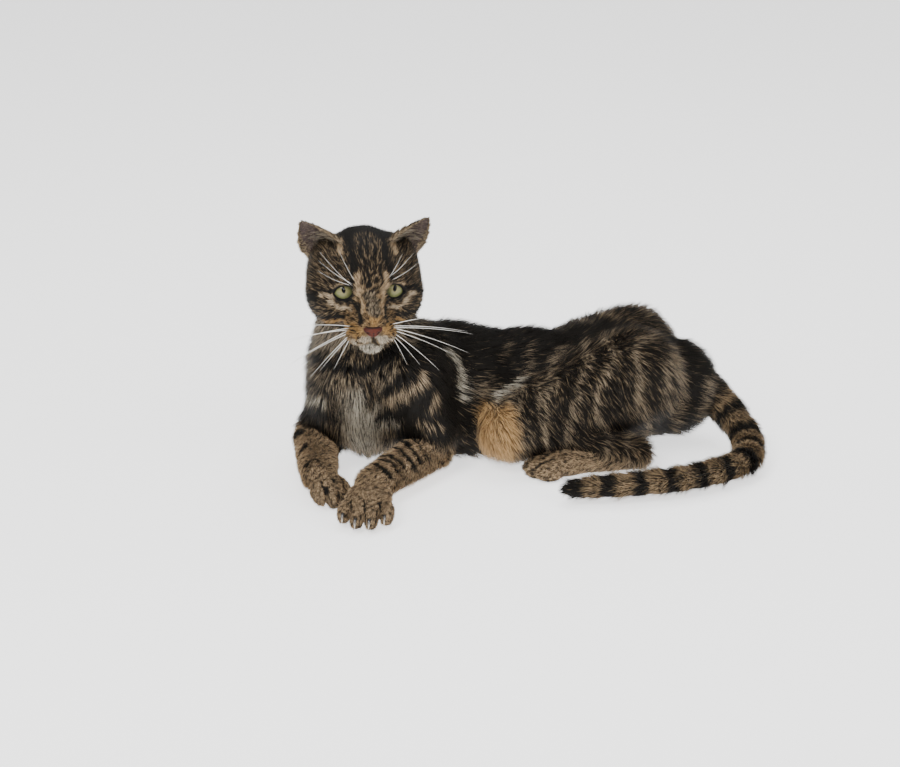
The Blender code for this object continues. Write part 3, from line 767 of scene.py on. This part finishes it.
BODY_STROKES = [  # tint, half width, places
    ("brown", 16, ((-102, -10, 84), (-79, -28, 84), (-52, -28, 84))),
    # the smoky necklace across the throat under the chin: a real marking, drawn broad here partly as painted shade
    # from the head above
    ("smoky", 5, ((-92, -14, 103), (-70, -19, 104), (-46, -18, 106))),
    ("black", 4.6, ((-106, 7, 94), (-95, -15, 95), (-79, -23, 93), (-67, -24, 94), (-52, -22, 100), (-40, -12, 108))),
    ("silver", 12, ((-70, -28, 66), (-70, -19, 38))), ("smoky", 5, ((-62, -30, 82), (-64, -30, 70))),
    ("black", 2.6, ((-111, 15, 77), (-106, -10, 79), (-94, -24, 74))),
    ("silver", 2.4, ((-113, 7, 60), (-98, -20, 67))),
    ("black", 3.2, ((-112, 1, 53), (-99, -17, 57), (-90, -23, 57))),
    ("black", 4.5, ((-99, -11, 43), (-91, -7, 30), (-84, 1, 20))),
    ("black", 5.0, ((-91, 7, 16), (-74, 0, 16))), ("black", 3.0, ((-32, -31, 94), (-42, -33, 84), (-54, -30, 75))),
    ("cream", 2.2, ((-20, -27, 92), (-25, -31, 85), (-33, -33, 80), (-49, -30, 72))),
    ("black", 5.2, ((-12, -23, 77), (-25, -30, 70), (-40, -29, 62), (-55, -24, 56))),
    ("black", 7.0, ((-6, -14, 84), (-4, -10, 60), (-8, -16, 40))), ("cream", 2.0, ((-14, -22, 71), (-17, -24, 65))),
    ("cream", 1.5, ((-26, -26, 52), (-16, -24, 49), (-8, -19, 46))),
    ("silver", 3.2, ((-52, -23, 52), (-42, -23, 52))),
    ("silver", 3.4, ((-5, 6, 98), (3, 11, 90), (8, 8, 78), (9, 4, 62))),
    # outside of the knee and thigh, then the lines on the forelegs
    ("brown", 11, ((28, 4, 66), (40, -6, 62), (54, 0, 66))),
    ("brown", 11, ((42, -16, 50), (54, -20, 36), (52, -10, 16))),
    ("orange", 9, ((29, -6, 52), (33, -15, 38), (30, -4, 17))),
    ("orange", 9, ((46, -14, 50), (48, -19, 38), (44, -10, 16))),
    ("silver", 2.6, ((38, 0, 64), (47, 6, 68), (58, 12, 74))),
    ("cream", 5.0, ((16, 24, 6), (28, 14, 6), (44, 0, 8), (58, 4, 8))),
]
FORELEG_STROKES = [
    ("black", 3.8, ((-50, -14, 30), (-44, -12, 31), (-36, -18, 35))),
    ("black", 1.5, ((-33, -18, 37), (-24, -38, 33), (-17, -40, 21))),
    ("black", 2.0, ((-38, -25, 34), (-31, -43, 33), (-23, -48, 25))),
    ("black", 1.6, ((-46, -34, 31), (-36, -53, 33), (-28, -55, 24))),
    ("black", 1.5, ((-56, -48, 28), (-48, -57, 33), (-37, -64, 27))),
    ("black", 1.4, ((-58, -58, 30), (-51, -65, 33), (-38, -70, 24))),
    ("black", 2.6, ((-70, -68, 26), (-62, -69, 31), (-53, -76, 31), (-46, -80, 26))),
    ("black", 3.4, ((-125, 8, 26), (-120, -2, 32))), ("black", 2.6, ((-121, -30, 24), (-116, -27, 31))),
    ("black", 2.2, ((-114, -58, 22), (-106, -56, 28))),
]
RINGS_APART = 25.0  # the tail's rings
SQUARES, PATCH_ACROSS = 9, 0.003  # the unwrap is a chequerboard of 9 squares each way; a tuft's patch on it
TUFT_POINTS = 4


def toe_gap_shade_lines():
    """Lines over the hollows between each paw's toes, from the knuckles down to the floor, for painted shade there.
    """
    paws = [(np.array(f[4], float), np.array(f[5], float), f[6]) for f in FORELEGS.values()]
    for side in (-1, 1):
        hock, toe = beside_spine(HOCK, side), beside_spine(HIND_TOE, side)
        start = hock + (toe - hock) * 0.45
        start[2] = 12
        paws.append((start, toe, HIND_PAW_WIDTH))
    for wrist, toe, width in paws:
        along = unit(toe - wrist)
        across = unit(np.cross(along, (0, 0, 1)))
        over = np.cross(across, along)
        length = np.linalg.norm(toe - wrist)
        for step in (-1, 0, 1):
            back = 3.5 * abs(step)
            yield [wrist + along * (length + ahead - back) + across * step * width * 0.245 + over * up
                   for ahead, up in ((-19, 6), (-8, 4), (-2, 0), (0, -7))]


def ripple(points, size, seed, count=8):
    """A smooth number about -1 to 1: the mean of waves across random ways, each about size long."""
    rng = np.random.default_rng(seed)
    ways = unit(rng.normal(size=(count, 3))) * (2 * math.pi / size) * rng.uniform(0.7, 1.4, (count, 1))
    return np.sin(points @ ways.T + rng.uniform(0, 6.28, count)).sum(1) / math.sqrt(count)


def nearest_on(points, path):
    """The nearest places on a path of straight runs, and how far along it they are."""
    path = np.asarray(path, float)
    best, place, along = np.full(len(points), 1e9), np.zeros_like(points), np.zeros(len(points))
    run = 0.0
    for a, b in zip(path, path[1:]):
        way = b - a
        h = np.clip((points - a) @ way / (way @ way), 0, 1)
        middle = a + h[:, None] * way
        away = ((points - middle) ** 2).sum(1)
        closer = away < best
        best = np.where(closer, away, best)
        place = np.where(closer[:, None], middle, place)
        along = np.where(closer, run + h * np.linalg.norm(way), along)
        run += np.linalg.norm(way)
    return place, along


def stroked(values, points, normals, tint, half, path):
    """Draws values towards a tint near a path: wholly within the half width, not at all a little outside it. The
    distance leaves out how far the path lies over or under the surface."""
    low, high = np.min(path, 0) - half - 14, np.max(path, 0) + half + 14
    near = np.flatnonzero(((points > low) & (points < high)).all(1))
    if not len(near):
        return
    place, _ = nearest_on(points[near], path)
    v = points[near] - place
    over = (v * normals[near]).sum(1)
    away = np.linalg.norm(v - over[:, None] * normals[near], axis=1) + np.maximum(np.abs(over) - 9, 0)
    soft = 0.25 * half + 0.35 + 0.03 * half ** 2
    share = np.clip((half + soft - away) / (2 * soft), 0, 1)[:, None]
    share = share * share * (3 - 2 * share)
    values[near] += (np.array(TINTS[tint]) - values[near]) * share


def coat_at(points, normals):
    """The coat's numbers, the way it lies and each part's share, from the forms near each point."""
    near = np.stack([form.distance(points) for form in FORMS])
    weight = np.exp(-(near - near.min(0)) / 3.0)
    weight /= weight.sum(0)
    share = np.stack([weight[[form.part == part for form in FORMS]].sum(0) for part in PARTS], 1)
    lie = weight.T @ unit(np.array([form.lie for form in FORMS]))
    on_head = (share[:, PARTS.index("head")] + share[:, PARTS.index("face")])[:, None]
    lie = lie * (1 - on_head) + unit(points - in_head(0, 62, -12)) * on_head
    swirl = np.stack([ripple(points, 30, seed) for seed in (1, 2, 3)], 1)
    lie = unit(lie) + 0.16 * swirl
    lie = unit(lie - normals * (lie * normals).sum(1)[:, None])
    return share @ np.array([COAT[part] for part in PARTS]), lie, share


def from_mouth(points):
    """How far the points are from the mouth's line, as seen from ahead."""
    flat = np.array((1, 0.2, 1))
    q = head_places(points) * flat
    place, _ = nearest_on(q, np.array(MOUTH) * flat)
    return np.linalg.norm(q - place, axis=1) + 99 * (q[:, 1] < 9)


def markings(points, normals, numbers, share):
    """How black, warm and pale the coat is: a tabby's lines, bands and rings over each part's own tint."""
    part = lambda name: share[:, PARTS.index(name)]
    points = points + 0.9 * np.stack([ripple(points, 9, seed) for seed in (11, 12, 13)], 1)
    tint = numbers[:, 4:].copy()
    x, y, z = points.T
    out = np.abs(y - SPINE_MIDDLE_Y)
    # narrow pale bands down the flanks and haunches, lost in black along the spine
    wave = (x + 0.30 * out + 5 * ripple(points, 45, 21)) / 24
    band = np.clip(1.6 - 6.5 * np.abs(wave - np.round(wave)), 0, 1) * np.clip((out - 11) / 10, 0, 1)
    band *= np.clip((x - 30) / 40, 0, 1) * (part("trunk") + part("thigh"))
    tint += (np.array((0.42, 0.45, 0.35)) - tint) * (0.85 * band)[:, None]
    # the nape is dark, with lines that run down it from the crown
    behind = np.clip((y - 24) / 16, 0, 1) * part("neck")
    lines = 0.5 + 0.5 * np.sin((x + 67 + 3 * ripple(points, 40, 22)) * 2 * math.pi / 15)
    tint += (np.stack((0.72 + 0.25 * lines, 0.3 + 0 * x, 0.15 + 0 * x), 1) - tint) * behind[:, None]
    # rings round the tail, which ends dark
    _, along = nearest_on(points, smoothed(TAIL, 19)[:, :3])
    ring = np.clip(1.5 - 5.0 * np.abs(along / RINGS_APART - np.round(along / RINGS_APART)), 0, 1)
    ring = np.maximum(ring, np.clip((along - 268) / 14, 0, 1)) * part("tail")
    tint += (np.array((0.97, 0.1, 0.0)) - tint) * ring[:, None]
    # paws and legs darker in their lowest few millimetres, next to the floor; the lines between the toes further on
    # are painted shade
    near_floor = np.clip((4.5 - z) / 3, 0, 1) * (part("paw") + 0.7 * part("leg"))
    tint += (np.array((0.9, 0.4, 0.0)) - tint) * (0.8 * near_floor)[:, None]
    for name, half, path in BODY_STROKES:
        path = np.array(path, float)
        stroked(tint, points, normals, name, half, path)
        if path[:, 0].mean() > 0:  # the haunches' marks are on both sides
            path[:, 1] = 2 * SPINE_MIDDLE_Y - path[:, 1]
            stroked(tint, points, normals, name, half, path)
    for name, half, path in FORELEG_STROKES:
        stroked(tint, points, normals, name, half, path)
    # painted shade: black lines in the hollows between the toes
    for path in toe_gap_shade_lines():
        stroked(tint, points, normals, "black", 0.9, path)
    for name, half, path in HEAD_STROKES:
        stroked(tint, points, normals, name, half, in_head(0, 0, 0) + np.array(path, float) @ HEAD)
    fleck = 0.25 + 0.35 * (part("head") + part("face")) + 0.5 * (part("leg") + part("paw"))
    tint[:, 0] *= 1 + np.where(tint[:, 0] < 0.8, fleck, 0) * ripple(points, 4.5, 31)
    lips = np.clip((1.5 - from_mouth(points)) / 0.7, 0, 1)
    tint += (np.array((0.9, 0.5, 0)) - tint) * lips[:, None]
    for side in (-1, 1):
        eye = in_head(side * EYE_IN_HEAD[0], *EYE_IN_HEAD[1:])
        line = np.clip(1.5 - lid_gap(side)(points), 0, 1) * (np.linalg.norm(points - eye, axis=1) < 18)
        tint += (np.array((1.0, 0, 0)) - tint) * line[:, None]
    return np.clip(tint, 0, 1)


# ---- tufts ---------------------------------------------------------------------------------------------------


def bare(points):
    """Where no hair grows: the eyes' gaps, the nose leather and the mouth's line. 0 there, 1 a little way off."""
    free = np.ones(len(points))
    for side in (-1, 1):
        eye = in_head(side * EYE_IN_HEAD[0], *EYE_IN_HEAD[1:])
        gap = lid_gap(side)(points)
        free = np.where(np.linalg.norm(points - eye, axis=1) < 18, np.minimum(free, (gap - 0.9) / 3.0), free)
    q = head_places(points) - NOSE_IN_HEAD
    free = np.minimum(free, np.linalg.norm(q / (6.9, 5.5, 4.7), axis=1) * 5 - 5.0)
    free = np.minimum(free, (from_mouth(points) - 0.5) / 2.2)
    return np.clip(free, 0, 1)


def scattered(points, faces, wanted, rng):
    """Places on the triangles, as many in each as its share of wanted (tufts in a square millimetre at each point).
    Even steps through the running total pick the triangles. Returns each place's face and corner shares."""
    a, b, c = (points[faces[:, n]] for n in range(3))
    total = np.cumsum(np.linalg.norm(np.cross(b - a, c - a), axis=1) / 2 * wanted[faces].mean(1))
    count = int(total[-1])
    picked = np.searchsorted(total, (np.arange(count) + rng.random(count)) * total[-1] / count)
    picked = np.minimum(picked, len(faces) - 1)
    u, v = rng.random((2, count))
    over = u + v > 1
    u, v = np.where(over, 1 - u, u), np.where(over, 1 - v, v)
    return picked, np.stack((1 - u - v, u, v), 1)


def lock_pull(points, size, seed):
    """From each point towards the middle of its lock: the nearest of one random place in each cell of a grid."""
    cell = np.floor(points / size)
    best, pull = np.full(len(points), 1e9), np.zeros_like(points)
    for i, j, k in np.ndindex(3, 3, 3):
        at = cell + (i - 1, j - 1, k - 1)
        spot = np.stack([np.sin(at @ np.array(key) + seed) * 43758.5453 for key in (
            (12.9898, 78.233, 37.719), (39.346, 11.135, 83.155), (73.156, 52.235, 9.151))], 1)
        away = (at + spot - np.floor(spot)) * size - points
        reach = (away ** 2).sum(1)
        pull = np.where((reach < best)[:, None], away, pull)
        best = np.minimum(best, reach)
    return pull


def spikes(roots, normals, lie, length, width, lift, pull):
    """Solid tufts, each a triangle sunk a little under its root and drawn out to a tip:
    tip = root + length (lie cos(lift) + normal sin(lift)) + pull. The root is flatter than it is wide."""
    up = np.sin(lift)[:, None] * normals + np.cos(lift)[:, None] * lie
    tip = roots + up * length[:, None] + pull
    way = unit(tip - roots)
    across = unit(np.cross(way, normals))
    over = np.cross(across, way)
    corner = np.radians((-90.0, 30.0, 150.0))
    rim = (across[:, None] * np.cos(corner)[None, :, None] + 0.45 * over[:, None] * np.sin(corner)[None, :, None])
    rim = rim * (width / 1.73)[:, None, None]
    points = np.concatenate(((roots - normals * 0.5)[:, None] + rim, tip[:, None]), 1)
    faces = np.array(((0, 2, 1), (0, 1, 3), (1, 2, 3), (2, 0, 3)))
    one = points[0]
    a, b, c = (one[faces[:, n]] - one.mean(0) for n in range(3))
    if (a * np.cross(b, c)).sum() < 0:
        faces = faces[:, ::-1]
    all_faces = (faces[None] + np.arange(len(points))[:, None, None] * TUFT_POINTS).reshape(-1, 3)
    return points.reshape(-1, 3), all_faces


def nearest_form(points):
    """The number of the form whose surface is nearest to each point."""
    return np.stack([form.distance(points) for form in FORMS]).argmin(0)


def unwrap_of(points, owner, middle=None):
    """Places on the unwrap of each point's own form, which fills one square of a chequerboard: the turn about the
    form's long axis goes across it and the height along the axis up it. middle is the point's face's middle."""
    place = np.zeros((len(points), 2))
    for number, form in enumerate(FORMS):
        mine = owner == number
        if not mine.any():
            continue
        q = (points[mine] - form.centre) @ form.axes.T
        turn = np.arctan2(q[:, 2], q[:, 0]) / (2 * math.pi) + 0.5
        if middle is not None:
            near = (middle[mine] - form.centre) @ form.axes.T
            turn -= np.round(turn - np.arctan2(near[:, 2], near[:, 0]) / (2 * math.pi) - 0.5)
        reach = np.linalg.norm(form.high - form.low) / 2
        place[mine, 0] = (number % SQUARES + 0.06 + 0.88 * np.clip(turn, -0.05, 1.05)) / SQUARES
        place[mine, 1] = (number // SQUARES + 0.5 + 0.45 * np.clip(q[:, 1] / reach, -1, 1)) / SQUARES
    return place


def ear_unwrap(side, medial, high):
    """The ears' own places, in the chequerboard's last row."""
    return np.stack((0.22 + 0.44 * (side > 0) + 0.19 * medial, 0.91 + 0.07 * high), 1)


def tuft_patches(uv):
    """Each tuft's points in a patch at its root's place, the tip in the middle."""
    turn = np.radians((90, 210, 330, 0))
    size = np.array((1, 1, 1, 0)) * PATCH_ACROSS / 2
    spread = np.stack((np.cos(turn), np.sin(turn)), 1) * size[:, None]
    return (uv[:, None] + spread[None]).reshape(-1, 2)


def coat_material(name, hair):
    """Grey to tan to cream ground, dark at the hair's root and on some tips, and black where ink says so. The skin
    has the same tints darkened as painted shade deep among the hairs, and bare mauve inside the ears."""
    # hair is smooth keratin, so the coat has a weak silky sheen; the skin is dull, and its darkness between the hairs
    # is painted shade
    material, shader = new_material(name)
    ink, warm, pale = (attribute(material, key) for key in ("ink", "warm", "pale"))
    ground = mixed(material, warm, "#746B58", "#C09355")
    ground = mixed(material, pale, ground, "#E2D8C4")
    if hair:
        along, lot = attribute(material, "along"), attribute(material, "lot")
        tip = node(material, "ShaderNodeMath", {
            0: ramped(material, along, 0.62, 0.95), 1: attribute(material, "tip")}, operation="MULTIPLY").outputs[0]
        ground = mixed(material, tip, ground, "#15110D")
    colour = mixed(material, ink, ground, "#070606")
    if hair:
        root = node(material, "ShaderNodeMapRange", {"Value": along, "From Max": 0.6, "To Min": 0.42})
        varied = node(material, "ShaderNodeMapRange", {"Value": lot, "To Min": 0.70, "To Max": 1.25})
        value = node(material, "ShaderNodeMath", {
            0: root.outputs["Result"], 1: varied.outputs["Result"]}, operation="MULTIPLY").outputs[0]
    else:
        # painted shade: the skin between the hairs at 0.4 of its tints' brightness
        value = 0.4
    colour = node(material, "ShaderNodeHueSaturation", {"Value": value, "Color": colour}).outputs["Color"]
    if not hair:
        colour = mixed(material, attribute(material, "bare"), colour, "#4A3D3F")
    material.node_tree.links.new(colour, shader.inputs["Base Color"])
    shader.inputs["Roughness"].default_value = 0.55 if hair else 0.8
    shader.inputs["Specular IOR Level"].default_value = 0.22
    return material


class Coat:
    """Gathers tufts by piece: points, triangles, their numbers and unwrapped places."""

    def __init__(self):
        self.pieces = {}

    def add(self, piece, roots, normals, lie, length, width, lift, pull, tint, uv, rng):
        points, faces = spikes(roots, normals, lie, length, width, lift, pull)
        points[:, 2] = np.maximum(points[:, 2], HAIR_OVER_FLOOR)  # hair that meets the floor lies along it
        black = rng.random(len(roots)) < tint[:, 0]
        numbers = {
            "ink": np.where(black, 0.96, tint[:, 0] * 0.25), "warm": tint[:, 1], "pale": tint[:, 2],
            "tip": (rng.random(len(roots)) < 0.5) * (1 - 0.9 * np.clip(tint[:, 2] * 1.6, 0, 1)),
            "lot": rng.random(len(roots))}
        numbers = {key: np.repeat(value, TUFT_POINTS) for key, value in numbers.items()}
        numbers["along"] = np.tile((0, 0, 0, 1.0), len(roots))
        self.pieces.setdefault(piece, []).append((points, faces, numbers, tuft_patches(uv)))

    def finish(self, material, slots):
        for piece, parts in self.pieces.items():
            points, faces = joined([(part[0], part[1]) for part in parts])
            numbers = {key: np.concatenate([part[2][key] for part in parts]) for key in parts[0][2]}
            made = add_mesh(piece, points, faces, numbers, np.concatenate([part[3] for part in parts]))
            made.data.materials.append(material)
            finish_piece(made, slots[piece])
            print(piece, len(faces), "triangles")


def make_coat(coat, points, faces, normals, numbers, share, rng):
    """Tufts over the whole skin. Hairs point along the lie, lifted, and lean together in locks."""
    wanted = numbers[:, 0] * (bare(points) > 0) * 1
    unseen = (normals[:, 2] < -0.7) & (points[:, 2] < 9)  # the flats that the cat rests on
    wanted = np.where(unseen, 0, wanted)
    picked, corners = scattered(points, faces, wanted, rng)
    at = lambda values: (values[faces[picked]] * corners[:, :, None]).sum(1)
    roots, normal = at(points), unit(at(normals))
    numbers, lie, share = coat_at(roots, normal)
    length, width = numbers[:, 1], numbers[:, 2]
    free = bare(roots)
    length = length * (0.25 + 0.75 * free) * rng.uniform(0.75, 1.2, len(roots))
    # hair is seen half its length on from its root, so that's where its tint is read
    tint = markings(roots + lie * (0.5 * numbers[:, 1])[:, None] * free[:, None], normal, numbers, share)
    width = width * rng.uniform(0.75, 1.25, len(roots))
    lift = np.radians(numbers[:, 3] * (1 + 0.22 * ripple(roots, 24, 41)) + rng.normal(0, 4, len(roots)))
    lift = np.clip(lift, 0.12, 1.1) * np.clip(0.5 + free, 0, 1)
    lie = unit(lie + rng.normal(0, 0.10, lie.shape))
    lie = unit(lie - normal * (lie * normal).sum(1)[:, None])
    pull = np.where((length > 9)[:, None], lock_pull(roots, 8.0, 0.5) * 0.40, lock_pull(roots, 3.4, 0.9) * 0.30)
    pull -= normal * (pull * normal).sum(1)[:, None]
    part = share.argmax(1)
    uv = unwrap_of(roots, nearest_form(roots))
    name = np.array(["coat_trunk", "coat_neck", "coat_head", "coat_face", "coat_forelegs", "coat_paws",
                     "coat_haunches", "coat_tail"])[part]  # in the order of PARTS
    name = np.where((part == 0) & (roots[:, 0] < 30), "coat_shoulders", name)
    for piece in np.unique(name):
        mine = name == piece
        coat.add(str(piece), *(values[mine] for values in (
            roots, normal, lie, length, width, lift, pull, tint, uv)), rng)


def make_ear_hair(coat, rng):
    """Short dense hair behind each ear and on its rim, and long pale hairs from its front edge over the hollow."""
    for side in (1, -1):
        places, (tall, facing, across) = ear_shell(side)
        points, faces = capped(places)
        normals = point_normals(points, faces)
        inner, medial, high = ear_marks(side, places)
        thin = 1.0
        for kind in ("back", "rim", "hollow", "long"):
            if kind == "back":
                wanted, size, lift = 4.5 * (inner < 0.15), (3.2, 0.5), 20
                tint = (0.72, 0.35, 0.10)
            elif kind == "rim":
                wanted, size, lift = 7.0 * ((np.abs(medial) > 0.80) & (inner > -0.3)), (2.8, 0.45), 28
                tint = (0.25, 0.60, 0.35)
            elif kind == "hollow":
                wanted, size, lift = 1.6 * ((inner > 0.1) & (np.abs(medial) < 0.9)), (4.0, 0.30), 22
                tint = (0.50, 0.20, 0.15)
            else:
                wanted = 0.16 * ((inner > 0.1) & (high < 0.55) & (medial > -0.5))
                wanted = wanted + 0.45 * ((medial > 0.75) & (high < 0.6) & (inner > 0))
                size, lift, tint = (12.0, 0.34), 30, (0.22, 0.25, 0.50)
            picked, corners = scattered(points, faces, wanted * thin, rng)
            at = lambda values: (values[faces[picked]] * corners[:, :, None]).sum(1)
            roots, normal = at(points), unit(at(normals))
            up = at(high[:, None])[:, 0]
            lie = np.tile(tall, (len(roots), 1))
            if kind in ("hollow", "long"):
                lie = unit(0.75 * tall - side * 0.55 * across + 0.2 * facing) + rng.normal(0, 0.14, (len(roots), 3))
            if kind == "rim":
                lie = lie + 0.5 * facing
            lie = unit(lie + rng.normal(0, 0.08, lie.shape))
            lie = unit(lie - normal * (lie * normal).sum(1)[:, None])
            length = size[0] * rng.uniform(0.6, 1.25, len(roots)) * np.clip(1.3 - 0.75 * up, 0.45, 1)
            width = size[1] * rng.uniform(0.8, 1.2, len(roots))
            tints = np.tile(np.array(tint, float), (len(roots), 1))
            if kind == "back":
                tints[:, 0] += 0.25 * np.cos(up * 7)
            uv = ear_unwrap(side, at(medial[:, None])[:, 0], up)
            coat.add("coat_ears", roots, normal, lie, length, width, np.radians(np.full(len(roots), lift)),
                     lock_pull(roots, 4.0, 0.3) * 0.3, tints, uv, rng)


# whiskers from the top row down: degrees over level, degrees ahead of straight out, length
WHISKERS_RIGHT = ((12, 5, 46), (3, 15, 55), (-5, -5, 58), (-14, 20, 54), (-24, 0, 52), (-34, 25, 44), (-46, 8, 36),
                  (-58, 22, 28))
WHISKERS_LEFT = ((14, 0, 44), (6, 12, 60), (-3, -4, 68), (-11, 10, 64), (-22, -6, 58), (-33, 14, 48), (-45, 4, 38),
                 (-57, 18, 28))
BROW_HAIRS = (  # side, root left, ahead and up from the head's centre, then the same
    (-1, (13, 38, 11), 44, 20, 40), (-1, (14, 37, 13), 33, 15, 33), (-1, (12, 37, 15), 60, 18, 27),
    (-1, (15, 36, 11), 22, 12, 28), (1, (15, 34, 16), 44, 18, 26), (1, (16, 34, 13), 30, 15, 24),
    (1, (14, 35, 15), 60, 20, 22))


def make_whiskers():
    """White whiskers and brow hairs: place(t) = root + length (t way - t^2 (0.16 ahead + droop up)), thinning to
    the tip."""
    parts = []
    # side, root left, ahead and up, degrees over level, degrees ahead of straight out, length, droop, half width
    hairs = []
    for side, top, droop, rows in ((-1, -17.0, 0.22, WHISKERS_RIGHT), (1, -16.5, 0.20, WHISKERS_LEFT)):
        for number, (level, sweep, length) in enumerate(rows):
            root = (16 - number * 0.35 + 1.2 * (number % 2), 50.5 + 0.9 * (number % 3), top - number * 1.0)
            hairs.append((side, root, level, sweep, length, droop, 0.21))
    for side, root, level, sweep, length in BROW_HAIRS:
        hairs.append((side, root, level, sweep, length, -0.12, 0.11))
    t = np.linspace(0, 1, 12)[:, None]
    for side, (left, ahead, up), level, sweep, length, droop, thick in hairs:
        level, sweep = math.radians(level), math.radians(sweep)
        flat = math.cos(level)
        way = np.array((side * flat * math.cos(sweep), flat * math.sin(sweep), math.sin(level)))
        bow = np.array((0, -0.16, -droop))
        path = in_head(side * left, ahead, up) + (length * (t * way + t ** 2 * bow)) @ HEAD
        parts.append(tube(path, thick * (1 - t[:, 0]) ** 0.8 + 0.035, 5))
    points, faces = joined(parts)
    made = add_mesh("whiskers", points, faces)
    # stiff smooth keratin without pigment: glossy white
    made.data.materials.append(plain("white whiskers", "#F4F1EA", 0.3))
    finish_piece(made, "head")


def make_skin_piece(points, faces, tint):
    """The skin with the ears' shells let in, its markings, and its unwrap, form by form."""
    middle = points[faces].mean(1)
    owner = np.repeat(nearest_form(middle), 3)
    uv = [unwrap_of(points[faces.ravel()], owner, np.repeat(middle, 3, 0))]
    parts, tints, bare_share = [(points, faces)], [tint], [np.zeros(len(points))]
    for side in (1, -1):
        places, _ = ear_shell(side)
        p, f = capped(places)
        inner, medial, high = ear_marks(side, places)
        tints.append(np.where(inner[:, None] > 0.1, (0.35, 0.2, 0.2), (0.7, 0.3, 0.1)))
        bare_share.append(np.clip(inner * 3, 0, 1) * 0.8)
        uv.append(ear_unwrap(side, medial, high)[f.ravel()])
        parts.append((p, f))
    all_points, all_faces = joined(parts)
    tints = np.concatenate(tints)
    numbers = {"ink": tints[:, 0], "warm": tints[:, 1], "pale": tints[:, 2], "bare": np.concatenate(bare_share)}
    made = add_mesh("skin", all_points, all_faces, numbers, np.concatenate(uv))
    made.data.materials.append(coat_material("skin under the fur", False))
    finish_piece(made, "trunk", *FLESH)


# ---- studio --------------------------------------------------------------------------------------------------

CAMERA_AT, CAMERA_LOOKS_AT = (0.0, -1795.4, 727.8), (0.0, -10.0, 78.0)
FOCAL_MM, SENSOR_MM = 95.0, 36.0


def look(made, place, target):
    made.location = Vector(to_frame(place))
    aim = Vector(to_frame(target)) - made.location
    made.rotation_euler = aim.to_track_quat("-Z", "Y").to_euler()


def studio():
    bpy.ops.mesh.primitive_plane_add(size=30)
    floor = bpy.context.object
    floor.name = "floor"
    # matt white paper, lit from all round: it gives back light evenly and shows only the softest shadow
    floor.data.materials.append(plain(
        "pale floor", "#F8F8F7", 0.8, Emission_Color=linear("#FFFFFF"), Emission_Strength=1.3))
    for name, place, size, watts, colour in (
        ("key", (-700, -1300, 1500), 0.9, 30, "#FFFFFF"),
        ("fill", (1300, -900, 900), 1.3, 11, "#F8FAFF"),
        ("top", (100, 500, 1600), 1.2, 14, "#FFFFFF"),
        ("front", (90, -1650, 980), 0.36, 7, "#FFFFFF"),
    ):
        light = bpy.data.lights.new(name, "AREA")
        light.energy, light.size, light.color = watts, size, linear(colour)[:3]
        lamp = bpy.data.objects.new(name, light)
        bpy.context.scene.collection.objects.link(lamp)
        look(lamp, place, (0, 0, 90))
    world = bpy.data.worlds.new("studio")
    bpy.context.scene.world = world
    world.use_nodes = True
    background = world.node_tree.nodes["Background"]
    background.inputs["Color"].default_value = linear("#FFFFFF")
    background.inputs["Strength"].default_value = 0.45
    camera = bpy.data.cameras.new("camera")
    camera.lens, camera.sensor_width = FOCAL_MM, SENSOR_MM
    holder = bpy.data.objects.new("camera", camera)
    bpy.context.scene.collection.objects.link(holder)
    look(holder, CAMERA_AT, CAMERA_LOOKS_AT)
    bpy.context.scene.camera = holder


# ---- all of it -----------------------------------------------------------------------------------------------

skin_points, skin_faces = make_skin()
normals = point_normals(skin_points, skin_faces)
numbers, lie, share = coat_at(skin_points, normals)
tint = markings(skin_points, normals, numbers, share)
rng = np.random.default_rng(7)
coat = Coat()
make_coat(coat, skin_points, skin_faces, normals, numbers, share, rng)
make_ear_hair(coat, rng)
make_skin_piece(skin_points, skin_faces, tint)
coat.finish(coat_material("tabby fur", True), {
    "coat_trunk": "trunk", "coat_shoulders": "trunk", "coat_neck": "neck", "coat_head": "head", "coat_face": "head",
    "coat_forelegs": "foreleg_left", "coat_paws": "forepaw_left", "coat_haunches": "thigh_left",
    "coat_tail": "tail_root", "coat_ears": "ear_left"})
make_whiskers()
make_eyes()
make_nose()
make_claws()
studio()
